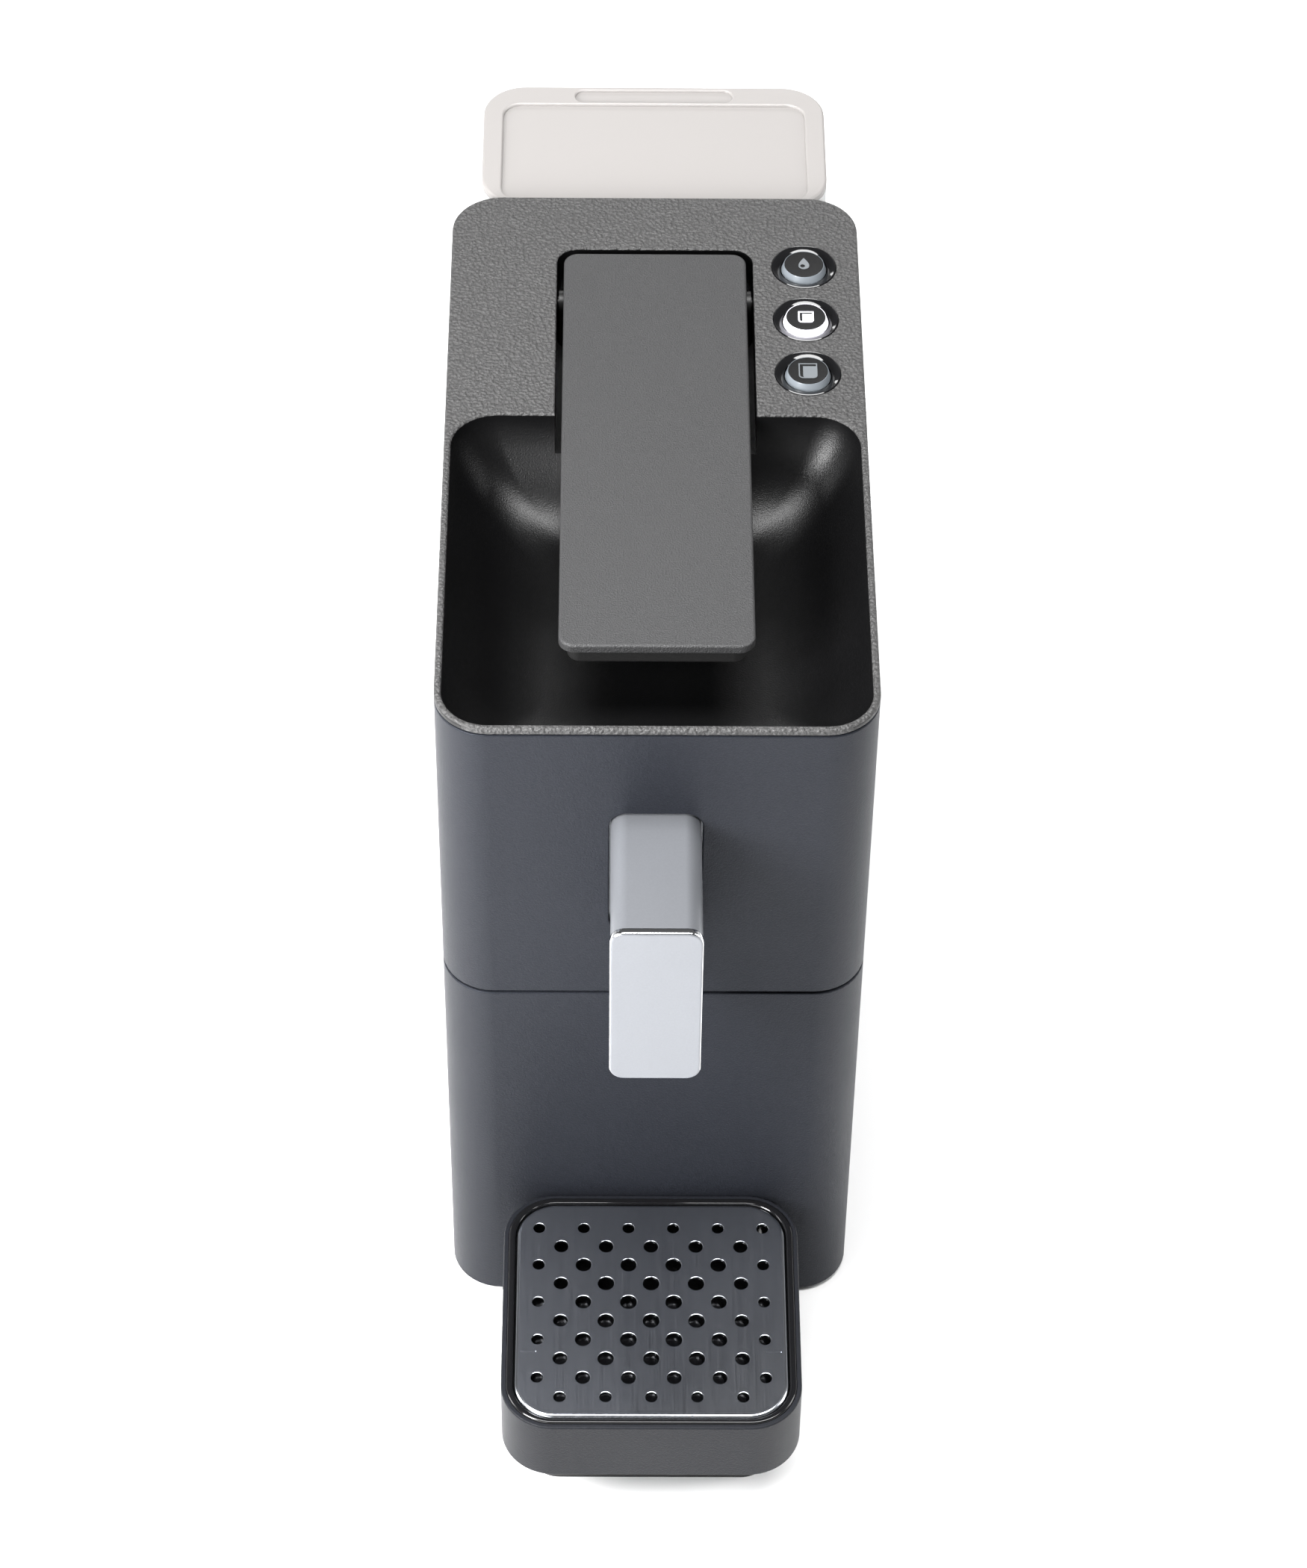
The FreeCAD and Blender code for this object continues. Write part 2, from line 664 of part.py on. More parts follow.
def bezel(y):
    """Dished glossy ring round a button."""
    tube = rod_z(BUTTON_X, y, 260.0, BODY_H, BEZEL_R)
    lip = rod_z(BUTTON_X, y, BODY_H, BODY_H + 0.25, BEZEL_R)
    ring = tube.fuse([lip]).removeSplitter()
    ring = soften(ring, 0.2, lambda c, b: c.z > BODY_H + 0.2)
    dish = cone_z(BUTTON_X, y, 264.2, BODY_H + 0.3, 8.5, 9.9)
    under = rod_z(BUTTON_X, y, 259.0, 262.6, 8.8)
    return ring.cut([dish, under, rod_z(BUTTON_X, y, 262.0, 265.0, 6.35)])


def button_cap(y):
    disc = rod_z(BUTTON_X, y, BUTTON_TOP - 1.7, BUTTON_TOP, CAP_R)
    return soften(disc, 0.45, lambda c, b: c.z > BUTTON_TOP - 0.01 and b.ZLength < 0.01)


def button_ring(y):
    """Translucent skirt under the cap, with the stem that reaches the switch."""
    skirt = cone_z(BUTTON_X, y, 266.0, BUTTON_TOP - 1.7, 8.1, 6.6)
    stem = rod_z(BUTTON_X, y, 256.2, 266.0, 5.9)
    return fused(skirt, stem)


# --- Spout ----------------------------------------------------------------------------------------


def spout_arm():
    front = -SPOUT_REACH + SPOUT_CAP_T
    half = SPOUT_HALF_W
    arm = duct(-half, half, front, 12.0, SPOUT_BOTTOM, SPOUT_TOP, SPOUT_CORNER_R)
    nose = slab(-half, half, front - 6.0, -20.0, SPOUT_TIP_Z + 2.5, SPOUT_BOTTOM + 8.0, 5.0)
    nose = nose.cut(block(-20, 20, front - 10, front, 150, 240))
    flange = block(-half - 4, half + 4, UPPER_WALL + 0.1, UPPER_WALL + 2.1, 177.5, 237.0)
    outside = fused(arm, nose, flange)
    wall = 1.8
    bore = block(-half + wall, half - wall, front + wall, 14.0, SPOUT_BOTTOM + wall, SPOUT_TOP - wall)
    throat = block(-half + wall, half - wall, front + wall, -20.0 - wall, 160.0, SPOUT_BOTTOM + 9.0)
    return outside.cut([bore, throat])


def spout_cap():
    half = SPOUT_HALF_W + 0.2
    back = -SPOUT_REACH + SPOUT_CAP_T
    cap = duct(-half, half, -SPOUT_REACH, back, SPOUT_TIP_Z, SPOUT_TOP + 0.2, 4.6)
    return soften(cap, 0.9, lambda c, b: b.YLength < 0.01 and c.y < -SPOUT_REACH + 0.01)


def spout_nozzle():
    tube = rod_z(0, NOZZLE_Y, SPOUT_TIP_Z + 1.0, 183.9, 4.2)
    flange = rod_z(0, NOZZLE_Y, 181.0, 183.9, 7.5)
    return fused(tube, flange).cut(rod_z(0, NOZZLE_Y, 160.0, 190.0, 2.2))


# --- Drawer -----------------------------------------------------------------------------------------


def drawer_front():
    front = lower_tube().common(block(-70, 70, -1.0, DRAWER_SEAM_Y, 0, 200))
    joints = [block(s * 58.9 - 3.8, s * 58.9 + 3.8, 30.0, 50.0, DRAWER_FLOOR_Z, 7.0) for s in (-1, 1)]
    lugs = fused(front, *joints).cut(block(-58.0, 58.0, 3.0, 70.0, 0.0, 20.0))
    return lugs


def drawer_floor():
    floor_top = DRAWER_FLOOR_Z + DRAWER_FLOOR_T
    plate = slab(-58.0, 58.0, LOWER_WALL + 0.2, DRAWER_DEPTH, DRAWER_FLOOR_Z, floor_top, 10.0)
    fence = slab(-52.5, 52.5, 6.0, DRAWER_DEPTH, floor_top, floor_top + 4.0, 9.0)
    fence = fence.cut(slab(-51.0, 51.0, 7.4, DRAWER_DEPTH - 1.4, floor_top - 1, 20.0, 8.0))
    return fused(plate, fence)


def drawer_rails():
    rail = block(59.0, 62.0, 62.5, 130.0, GROUND_GAP + BASE_T, 12.0)
    return group([rail, mirrored(rail)])


def bin_solid(inset, z0, z1):
    return slab(-50.4 + inset, 50.4 - inset, 8.0 + inset, 126.0 - inset, z0, z1, 8.0 - inset)


def pod_bin():
    z0 = DRAWER_FLOOR_Z + DRAWER_FLOOR_T + 0.1
    wall = 1.6
    return bin_solid(0.0, z0, 138.0).cut(bin_solid(wall, z0 + wall, 140.0))


def tray_stand():
    """Hollow plinth on the drawer front that the drip tray stands on."""
    outer = slab(-39.0, 39.0, -74.0, 14.0, 0.0, TRAY_BOTTOM - 0.1, 10.0)
    inner = slab(-37.0, 37.0, -72.0, 14.0, -1.0, TRAY_BOTTOM - 2.1, 8.0)
    return outer.cut([inner, block(-60, 60, 0.0, 40.0, -5.0, 60.0)])


# --- Drip tray ---------------------------------------------------------------------------------------


def tray_solid(inset, z0, z1):
    half = TRAY_HALF_W - inset
    r = TRAY_CORNER_R - inset
    return slab(-half, half, TRAY_FRONT + inset, TRAY_REAR - inset, z0, z1, r)


def tray_shell():
    """Outer shell of the drip tray, with a fine bead round its upper edge."""
    outer = tray_solid(0.0, TRAY_BOTTOM, TRAY_TOP)
    outer = soften(outer, 0.6, lambda c, b: b.ZLength < 0.01)
    return outer.cut(tray_solid(1.5, TRAY_BOTTOM + 2.0, TRAY_TOP + 1))


def grid_outline(inset, z0, z1):
    half = GRID_HALF_W - inset
    return slab(-half, half, GRID_FRONT + inset, GRID_REAR - inset, z0, z1, GRID_CORNER_R - inset)


def tray_pan():
    """Glossy inner pan: its rim frames the grid and a ledge inside carries it."""
    pan = tray_solid(1.6, TRAY_BOTTOM + 2.1, GRID_TOP - 0.1)
    pan = soften(pan, 0.5, lambda c, b: b.ZLength < 0.01 and c.z > GRID_TOP - 0.2)
    seat = grid_outline(-0.25, GRID_TOP - 4.4, GRID_TOP + 1.0)
    pool = grid_outline(2.2, TRAY_BOTTOM + 4.0, GRID_TOP + 1.0)
    return pan.cut([seat, pool])


def hole_size(column, row):
    """Holes are largest in the middle of the grid and smaller towards its edges."""
    across = abs(column) / 5.0
    along = abs(row - 4.5) / 4.5
    edge = max(across, along)
    return 2.6 - 0.75 * edge ** 3


def drip_grid():
    plate = grid_outline(0.0, GRID_TOP - 4.2, GRID_TOP)
    plate = soften(plate, 1.2, lambda c, b: b.ZLength < 0.01 and c.z > GRID_TOP - 0.01)
    hollow = grid_outline(1.0, GRID_TOP - 5.0, GRID_TOP - 1.0)
    holes = []
    for row in range(HOLE_ROWS):
        y = HOLE_FIRST_Y + HOLE_PITCH * row * 1.02
        columns = range(-4, 5, 2) if row % 2 == 0 else range(-5, 6, 2)
        for column in columns:
            radius = hole_size(column, row)
            holes.append(rod_z(column * HOLE_PITCH, y, GRID_TOP - 2, GRID_TOP + 1, radius))
    return plate.cut([hollow] + holes)


# --- Water tank and its dock ----------------------------------------------------------------------------


def tank_solid(inset, z0, z1):
    half = TANK_HALF_W - inset
    r = TANK_CORNER_R - inset
    return slab(-half, half, TANK_FRONT + inset, TANK_REAR - inset, z0, z1, r)


def lid_ears():
    """Places along X of the two hinge ears on the tank's front edge."""
    return [(-40.0, -36.0), (36.0, 40.0)]


def water_tank():
    outer = tank_solid(0.0, TANK_BOTTOM, TANK_TOP)
    outer = soften(outer, 1.5, lambda c, b: b.ZLength < 0.01 and c.z < TANK_BOTTOM + 0.01)
    tank = outer.cut(tank_solid(TANK_WALL, TANK_BOTTOM + 2.5, TANK_TOP + 1))
    for x0, x1 in lid_ears():
        ear = rod_x(x0, x1, LID_HINGE_Y, LID_HINGE_Z, 1.1)
        post = block(x0, x1, TANK_FRONT + 0.1, TANK_FRONT + 2.0, TANK_TOP - 1.0, LID_HINGE_Z)
        tank = fused(tank, ear, post)
        tank = tank.cut(rod_x(x0 - 1, x1 + 1, LID_HINGE_Y, LID_HINGE_Z, 0.65))
    return tank.cut(rod_z(0, 270.0, TANK_BOTTOM - 1, TANK_BOTTOM + 4, 7.0))


def lid_hinge_pins():
    pins = [rod_x(x0 - 3.0, x1 + 3.0, LID_HINGE_Y, LID_HINGE_Z, 0.6) for x0, x1 in lid_ears()]
    return group(pins)


def tank_lid():
    """Frosted lid: a raised rim round a sunk panel, with a finger hollow at the back."""
    z0 = TANK_TOP + 0.3
    plate = tank_solid(0.0, z0, LID_TOP)
    plate = soften(plate, 0.8, lambda c, b: b.ZLength < 0.01 and c.z > LID_TOP - 0.01)
    skirt = tank_solid(TANK_WALL + 0.5, z0 - 5.0, z0)
    skirt = skirt.cut(tank_solid(TANK_WALL + 1.9, z0 - 6.0, z0 + 1.0))
    skirt = skirt.cut(block(-60, 60, 230.0, TANK_FRONT + 6.0, 250.0, 270.0))
    panel = slab(-49.8, 49.8, 246.0, 291.3, LID_TOP - 1.1, LID_TOP + 1.0, 6.0)
    finger = slab(-26.0, 26.0, 292.6, 298.6, LID_TOP - 0.9, LID_TOP + 1.0, 2.9)
    lid = fused(plate, skirt).cut([panel, finger])
    for x0, x1 in lid_ears():
        lid = lid.cut(block(x0 - 0.4, x1 + 0.4, 230.0, LID_HINGE_Y + 1.9, 255.0, 270.0))
        lid = lid.cut(rod_x(x0 - 3.2, x1 + 3.2, LID_HINGE_Y, LID_HINGE_Z, 0.65))
    lower_front = block(-60, 60, 230.0, LID_HINGE_Y, 255.0, LID_HINGE_Z - 0.2)
    return lid.cut(lower_front)


def tank_valve():
    """Valve plug in the floor of the tank, with its flange inside."""
    plug = rod_z(0, 270.0, TANK_BOTTOM, TANK_BOTTOM + 2.5, 6.95)
    flange = rod_z(0, 270.0, TANK_BOTTOM + 2.5, TANK_BOTTOM + 5.0, 9.5)
    return fused(plug, flange)


def tank_dock():
    """Foot behind the body that the tank stands on, with a collar for its valve."""
    outer = slab(-54.0, 54.0, 216.0, DOCK_REAR, GROUND_GAP, DOCK_TOP, 14.0)
    inner = slab(-51.5, 51.5, 216.0, DOCK_REAR - 2.5, 0.0, DOCK_TOP - 2.5, 11.5)
    shell = outer.cut([inner, block(-70, 70, 200.0, BODY_D + 0.1, 0.0, 60.0)])
    socket = rod_z(0, 270.0, 12.0, DOCK_TOP - 1.0, 10.0)
    shell = shell.fuse([socket])
    shell = shell.cut(rod_z(0, 270.0, DOCK_TOP - 6.0, DOCK_TOP + 1, 7.5))
    shell = shell.cut(rod_z(0, 270.0, DOCK_TOP - 2.4, DOCK_TOP + 1, 9.0))
    shell = shell.cut(rod_y(0, 255.0, 262.5, 19.0, 3.0))
    locator = [block(s * 30 - 6, s * 30 + 6, 262, 278, DOCK_TOP - 1, DOCK_TOP + 1.8) for s in (-1, 1)]
    shell = fused(shell, *locator)
    return shell.cut(rod_y(-40.0, 290.0, 300.0, 13.0, 5.5))


def dock_seal():
    return rod_z(0, 270.0, DOCK_TOP - 2.4, DOCK_TOP + 1.4, 8.9).cut(rod_z(0, 270.0, 20.0, 40.0, 6.2))


def cord_gland():
    """Bush in the back of the dock that a mains lead passes through."""
    bush = rod_y(-40.0, 290.5, DOCK_REAR + 0.5, 13.0, 5.45)
    flange = rod_y(-40.0, DOCK_REAR, DOCK_REAR + 2.5, 13.0, 7.5)
    return fused(bush, flange).cut(rod_y(-40.0, 285.0, 305.0, 13.0, 3.5))


# --- Everything in its place ------------------------------------------------------------------------------

SINGLE_PIECES = [
    upper_shell, lower_housing, base_plate, rubber_feet, housing_screws, chassis_plate,
    top_cover, lever_cover, lever_frame, crank_pin, hinge_pin,
    brew_head, head_seal, piercing_needles, brew_jaw, pull_rods, pod_chute, coffee_trough,
    brew_screws, thermoblock, pump_body, pump_coil, pump_mounts, flow_meter,
    control_board, power_board, spout_arm, spout_cap, spout_nozzle,
    drawer_front, drawer_floor, drawer_rails, pod_bin, tray_stand,
    tray_shell, tray_pan, drip_grid,
    water_tank, lid_hinge_pins, tank_lid, tank_valve, tank_dock, dock_seal, cord_gland,
]

for make in SINGLE_PIECES:
    save(make.__name__, make())

save("brew_cheek_right", brew_cheek())
save("brew_cheek_left", mirrored(brew_cheek()))

for hose_name, route in HOSES.items():
    save(hose_name, hose(route, 3.0))

for button_name, button_y in zip(BUTTON_NAMES, button_ys()):
    save("bezel_" + button_name, bezel(button_y))
    save("cap_" + button_name, button_cap(button_y))
    save("light_ring_" + button_name, button_ring(button_y))
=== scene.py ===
import json
import math

import bmesh
import bpy
from mathutils import Matrix, Vector


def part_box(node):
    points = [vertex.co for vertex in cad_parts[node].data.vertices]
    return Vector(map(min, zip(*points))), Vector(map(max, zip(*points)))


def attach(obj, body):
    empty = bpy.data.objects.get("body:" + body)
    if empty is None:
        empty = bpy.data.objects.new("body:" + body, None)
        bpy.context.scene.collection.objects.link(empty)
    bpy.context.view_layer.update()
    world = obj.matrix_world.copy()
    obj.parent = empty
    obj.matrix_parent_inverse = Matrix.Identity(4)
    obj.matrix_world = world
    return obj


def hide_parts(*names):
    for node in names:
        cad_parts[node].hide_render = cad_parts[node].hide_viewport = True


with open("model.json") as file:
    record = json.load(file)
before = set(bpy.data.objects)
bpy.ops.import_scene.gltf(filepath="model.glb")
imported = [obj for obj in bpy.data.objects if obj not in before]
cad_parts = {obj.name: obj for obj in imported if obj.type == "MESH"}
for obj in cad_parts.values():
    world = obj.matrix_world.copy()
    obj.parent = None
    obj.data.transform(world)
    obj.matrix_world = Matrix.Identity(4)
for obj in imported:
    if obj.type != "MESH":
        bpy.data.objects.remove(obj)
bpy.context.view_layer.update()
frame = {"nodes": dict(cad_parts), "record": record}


# --- Lower housing -------------------------------------------------------------------
# The back part of the lower casing is one open-bottomed moulding of grained dark plastic.
# It is screwed to the base plate from below, and the drawer closes it at the front.

LOWER_WALL = 0.0025
CASING_CORNER = 0.016
CASING_EDGE = 0.0005
CASING_COLOUR = (0.0120, 0.0130, 0.0165)
CASING_TINT = (0.82, 0.88, 1.0, 1.0)
CASING_ROUGHNESS = 0.42
CASING_GRAIN = 0.00045
CASING_RELIEF = 0.00012


def edit(piece):
    """Go into edit mode with this piece alone."""
    bpy.ops.object.select_all(action="DESELECT")
    bpy.context.view_layer.objects.active = piece
    piece.select_set(True)
    bpy.ops.object.mode_set(mode="EDIT")


def pick(piece, kind, wanted):
    """In edit mode, select the faces or edges that the test wants.

    The test gets the middle of each, with a face's normal or an edge's direction."""
    edit(piece)
    bpy.ops.mesh.select_mode(type=kind)
    bpy.ops.mesh.select_all(action="DESELECT")
    mesh = bmesh.from_edit_mesh(piece.data)
    if kind == "FACE":
        for face in mesh.faces:
            face.select = wanted(face.calc_center_median(), face.normal)
    else:
        for edge in mesh.edges:
            start, end = (corner.co for corner in edge.verts)
            edge.select = wanted((start + end) / 2.0, (end - start).normalized())
    bmesh.update_edit_mesh(piece.data)


def leave():
    bpy.ops.object.mode_set(mode="OBJECT")


def round_edges(piece, wanted, radius, steps):
    """Round the edges that the test wants."""
    pick(piece, "EDGE", wanted)
    bpy.ops.mesh.bevel(offset=radius, segments=steps, affect="EDGES", clamp_overlap=False)
    leave()


def block(name, low, high, corner=0.0, along=2, steps=10):
    """A block between two corners, its four edges along one axis rounded."""
    bpy.ops.object.select_all(action="DESELECT")
    low = Vector(low)
    high = Vector(high)
    bpy.ops.mesh.primitive_cube_add(size=1.0, location=(low + high) / 2.0)
    piece = bpy.context.object
    piece.name = name
    piece.data.name = name
    piece.scale = high - low
    bpy.ops.object.transform_apply(location=True, rotation=True, scale=True)
    if corner:
        round_edges(piece, lambda middle, way: abs(way[along]) > 0.9, corner, steps)
    return piece


def combine(piece, tool, how="DIFFERENCE"):
    """Cut one piece with another, or join them, and do away with the tool."""
    step = piece.modifiers.new("combine", "BOOLEAN")
    step.object = tool
    step.operation = how
    step.solver = "MANIFOLD"
    bpy.ops.object.select_all(action="DESELECT")
    bpy.context.view_layer.objects.active = piece
    bpy.ops.object.modifier_apply(modifier=step.name)
    bpy.data.objects.remove(tool)


def soften(piece, width=0.0, steps=3, angle=35.0):
    """Break the sharp edges and shade the piece smooth, with its flat faces kept flat."""
    bpy.ops.object.select_all(action="DESELECT")
    bpy.context.view_layer.objects.active = piece
    piece.select_set(True)
    if width:
        step = piece.modifiers.new("soften", "BEVEL")
        step.width = width
        step.segments = steps
        step.limit_method = "ANGLE"
        step.angle_limit = math.radians(angle)
        bpy.ops.object.modifier_apply(modifier=step.name)
    bpy.ops.object.shade_smooth_by_angle(angle=math.radians(angle))
    step = piece.modifiers.new("flats", "WEIGHTED_NORMAL")
    step.keep_sharp = True
    bpy.ops.object.modifier_apply(modifier=step.name)


def tube(name, low, high, corner):
    """A sheet that follows a rounded outline, open at the top and the bottom."""
    piece = block(name, low, high, corner)
    pick(piece, "FACE", lambda middle, way: abs(way.z) > 0.9)
    bpy.ops.mesh.delete(type="FACE")
    leave()
    return piece


def keep_side(piece, place, normal):
    """Cut an open sheet along a plane and keep the side that the normal points to."""
    edit(piece)
    bpy.ops.mesh.select_all(action="SELECT")
    bpy.ops.mesh.bisect(plane_co=place, plane_no=normal, clear_inner=True)
    leave()


def thicken(piece, wall):
    """Give an open sheet its wall, on the inner side."""
    step = piece.modifiers.new("wall", "SOLIDIFY")
    step.thickness = wall
    step.offset = -1.0
    step.use_even_offset = True
    bpy.ops.object.select_all(action="DESELECT")
    bpy.context.view_layer.objects.active = piece
    bpy.ops.object.modifier_apply(modifier=step.name)


def grained(name, colour, roughness, grain, relief, pebbled=False, mottle=0.5, specular=0.5):
    """Moulded plastic with a fine grain that mottles its tone, and a gloss that varies a little."""
    finish = bpy.data.materials.new(name)
    finish.use_nodes = True
    nodes = finish.node_tree.nodes
    links = finish.node_tree.links
    shader = nodes["Principled BSDF"]
    shader.inputs["IOR"].default_value = 1.48
    shader.inputs["Specular IOR Level"].default_value = specular
    place = nodes.new("ShaderNodeTexCoord")
    fine = nodes.new("ShaderNodeTexNoise")
    fine.inputs["Scale"].default_value = 1.0 / grain
    fine.inputs["Detail"].default_value = 3.0
    fine.inputs["Roughness"].default_value = 0.55
    links.new(place.outputs["Object"], fine.inputs["Vector"])
    height = fine.outputs["Fac"]
    if pebbled:
        cells = nodes.new("ShaderNodeTexVoronoi")
        cells.feature = "SMOOTH_F1"
        cells.inputs["Scale"].default_value = 0.8 / grain
        cells.inputs["Smoothness"].default_value = 0.6
        links.new(place.outputs["Object"], cells.inputs["Vector"])
        both = nodes.new("ShaderNodeMath")
        both.operation = "MULTIPLY_ADD"
        both.inputs[1].default_value = -0.9
        links.new(cells.outputs["Distance"], both.inputs[0])
        links.new(fine.outputs["Fac"], both.inputs[2])
        height = both.outputs["Value"]
    bump = nodes.new("ShaderNodeBump")
    bump.inputs["Strength"].default_value = 1.0
    bump.inputs["Distance"].default_value = relief
    links.new(height, bump.inputs["Height"])
    links.new(bump.outputs["Normal"], shader.inputs["Normal"])
    cloud = nodes.new("ShaderNodeTexNoise")
    cloud.inputs["Scale"].default_value = 45.0
    cloud.inputs["Detail"].default_value = 4.0
    links.new(place.outputs["Object"], cloud.inputs["Vector"])
    gloss = nodes.new("ShaderNodeMapRange")
    gloss.inputs["To Min"].default_value = roughness - 0.04
    gloss.inputs["To Max"].default_value = roughness + 0.04
    links.new(cloud.outputs["Fac"], gloss.inputs["Value"])
    links.new(gloss.outputs["Result"], shader.inputs["Roughness"])
    tint = nodes.new("ShaderNodeMix")
    tint.data_type = "RGBA"
    tint.inputs["A"].default_value = (*[(1.0 - mottle) * c for c in colour], 1.0)
    tint.inputs["B"].default_value = (*[(1.0 + mottle) * c for c in colour], 1.0)
    links.new(height, tint.inputs["Factor"])
    links.new(tint.outputs["Result"], shader.inputs["Base Color"])
    return finish


def dress(piece, finish, slot, body, *nodes):
    """Give a piece its finish, the body that carries it and the parts that it stands for."""
    piece.data.materials.clear()
    piece.data.materials.append(finish)
    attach(piece, body)
    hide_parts(*nodes)


casing_plastic = grained(
    "casing_plastic", CASING_COLOUR, CASING_ROUGHNESS, CASING_GRAIN, CASING_RELIEF, specular=0.15
)
casing_shader = casing_plastic.node_tree.nodes["Principled BSDF"]
casing_shader.inputs["Specular Tint"].default_value = CASING_TINT
low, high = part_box("lower_housing")
seam_y = low.y
drawer_low, drawer_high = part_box("drawer_front")
housing = tube("housing_lower", (low.x, drawer_low.y, low.z), high, CASING_CORNER)
keep_side(housing, (0, seam_y, 0), (0, 1, 0))
thicken(housing, LOWER_WALL)
soften(housing, CASING_EDGE)
dress(housing, casing_plastic, "casing_plastic", "machine", "lower_housing")


# --- Drawer front --------------------------------------------------------------------
# The drawer's front is the lower half of the casing as far as a fine seam on each side.
# It is moulded in the same plastic and clips on to the drawer's floor.

front_high = (high.x, high.y, drawer_high.z)
front = tube("drawer_front_panel", drawer_low, front_high, CASING_CORNER)
keep_side(front, (0, drawer_high.y, 0), (0, -1, 0))
thicken(front, LOWER_WALL)
soften(front, CASING_EDGE)
dress(front, casing_plastic, "casing_plastic", "drawer", "drawer_front")


# --- Upper shell ---------------------------------------------------------------------
# The upper casing is a sleeve between the chassis and the top cover, dropped over both.
# A rounded window in its front lets the spout through.

UPPER_WALL = 0.0018
WINDOW_PLAY = 0.0004
WINDOW_CORNER = 0.0054
WINDOW_REACH = 0.01
ARM_HEIGHT = 0.0511
CAP_LIP = 0.0002

low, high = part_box("upper_shell")
spout_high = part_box("spout_cap")[1]
shell = tube("shell_upper", low, high, CASING_CORNER)
thicken(shell, UPPER_WALL)
window_half = spout_high.x - CAP_LIP + WINDOW_PLAY
window_top = spout_high.z - CAP_LIP + WINDOW_PLAY
window_floor = spout_high.z - CAP_LIP - ARM_HEIGHT - WINDOW_PLAY
window = block(
    "window", (-window_half, low.y - WINDOW_REACH, window_floor),
    (window_half, low.y + WINDOW_REACH, window_top), WINDOW_CORNER, along=1,
)
combine(shell, window)
soften(shell, CASING_EDGE)
dress(shell, casing_plastic, "casing_plastic", "machine", "upper_shell")


# --- Top cover -----------------------------------------------------------------------
# The cover is one moulding that closes the upper shell: a flat deck with a leather-like
# grain, a deep scoop in front with a smoother finish, a narrow well for the lever and a mouth
# for the pods under it.  The scoop and the well are the deck's plastic in a near-black colour
# that is painted shade.

DECK_T = 0.0019
DECK_EDGE = 0.0009
DECK_STEPS = 16
RIM_EDGE = 0.0008
SCOOP_SIDE = 0.0021
SCOOP_LENGTH = 0.1323
SCOOP_CORNER = 0.014
SCOOP_REACH = 0.030
SCOOP_DEPTH = 0.030
SCOOP_WALL = 0.0015
SCOOP_ROWS = 18
SCOOP_LIP = 0.0015
GROOVE = 0.0022
GROOVE_EDGE = 0.0006
GROOVE_FRONT = 0.056
WELL_CORNER = 0.0065
WELL_DEPTH = 0.013
WELL_WALL = 0.002
WELL_FRONT = 0.092
DROP_FRONT = 0.144
DROP_EXTRA = 0.003
DROP_ROOF = 0.005
MOUTH_HALF = 0.021
MOUTH_FRONT = 0.034
MOUTH_BACK = 0.068
MOUTH_CORNER = 0.008
BEZEL_PLAY = 0.00008
SUNK = 0.0007
HAIR = 0.00001


def grow(middle, half, rows, level, out):
    """Pull the selected end face out, row by row; a row is a height and an outline's growth."""
    for z, wider in rows:
        bpy.ops.mesh.extrude_region_move(TRANSFORM_OT_translate={"value": (0, 0, z - level)})
        stretch_x = (half[0] + wider) / (half[0] + out)
        stretch_y = (half[1] + wider) / (half[1] + out)
        centre = (middle[0], middle[1], z)
        bpy.ops.transform.resize(value=(stretch_x, stretch_y, 1.0), center_override=centre)
        level = z
        out = wider


def opening(name, low, high, corner, edge, steps=10):
    """The shape that cuts an opening whose upper edge is rounded off."""
    low = Vector(low)
    high = Vector(high)
    tool = block(name, low, (high.x, high.y, high.z - edge), corner, steps=steps)
    rows = []
    for i in range(1, 5):
        turn = math.pi / 8.0 * i
        rows.append((high.z - edge + edge * math.sin(turn), edge - edge * math.cos(turn)))
    rows.append((high.z + 0.001, edge))
    pick(tool, "FACE", lambda middle, way: way.z > 0.9)
    grow((low + high) / 2.0, ((high - low) / 2.0)[:2], rows, high.z - edge, 0.0)
    leave()
    return tool


def scoop(name, grow_by, top, lip):
    """The hollow of the scoop, steep at its rim and flat in its floor."""
    half = (deck_high.x - SCOOP_SIDE + grow_by, SCOOP_LENGTH / 2.0 + grow_by)
    middle = (0.0, deck_low.y + SCOOP_SIDE + SCOOP_LENGTH / 2.0)
    start = top - SCOOP_LIP
    low_corner = (middle[0] - half[0], middle[1] - half[1], start)
    high_corner = (middle[0] + half[0], middle[1] + half[1], top)
    if lip:
        tool = opening(name, low_corner, high_corner, SCOOP_CORNER + grow_by, RIM_EDGE, 12)
    else:
        tool = block(name, low_corner, high_corner, SCOOP_CORNER + grow_by, steps=12)
    rows = []
    for i in range(1, SCOOP_ROWS + 1):
        turn = math.pi / 2.0 * i / SCOOP_ROWS
        inward = SCOOP_REACH * (1.0 - math.cos(turn)) ** 0.92
        depth = SCOOP_DEPTH * math.sin(turn) ** 1.12
        rows.append((start - depth + SCOOP_LIP * (depth / SCOOP_DEPTH), -inward))
    pick(tool, "FACE", lambda place, way: way.z < -0.9 and place.z < start + HAIR)
    grow(middle, half, rows, start, 0.0)
    leave()
    return tool


def rod(name, start, end, radius, steps=32):
    """A round bar between two points."""
    start = Vector(start)
    end = Vector(end)
    bpy.ops.object.select_all(action="DESELECT")
    bpy.ops.mesh.primitive_cylinder_add(vertices=steps, radius=radius, depth=(end - start).length)
    piece = bpy.context.object
    piece.name = name
    piece.data.name = name
    piece.location = (start + end) / 2.0
    piece.rotation_euler = (end - start).to_track_quat("Z", "Y").to_euler()
    bpy.ops.object.transform_apply(location=True, rotation=True, scale=True)
    return piece


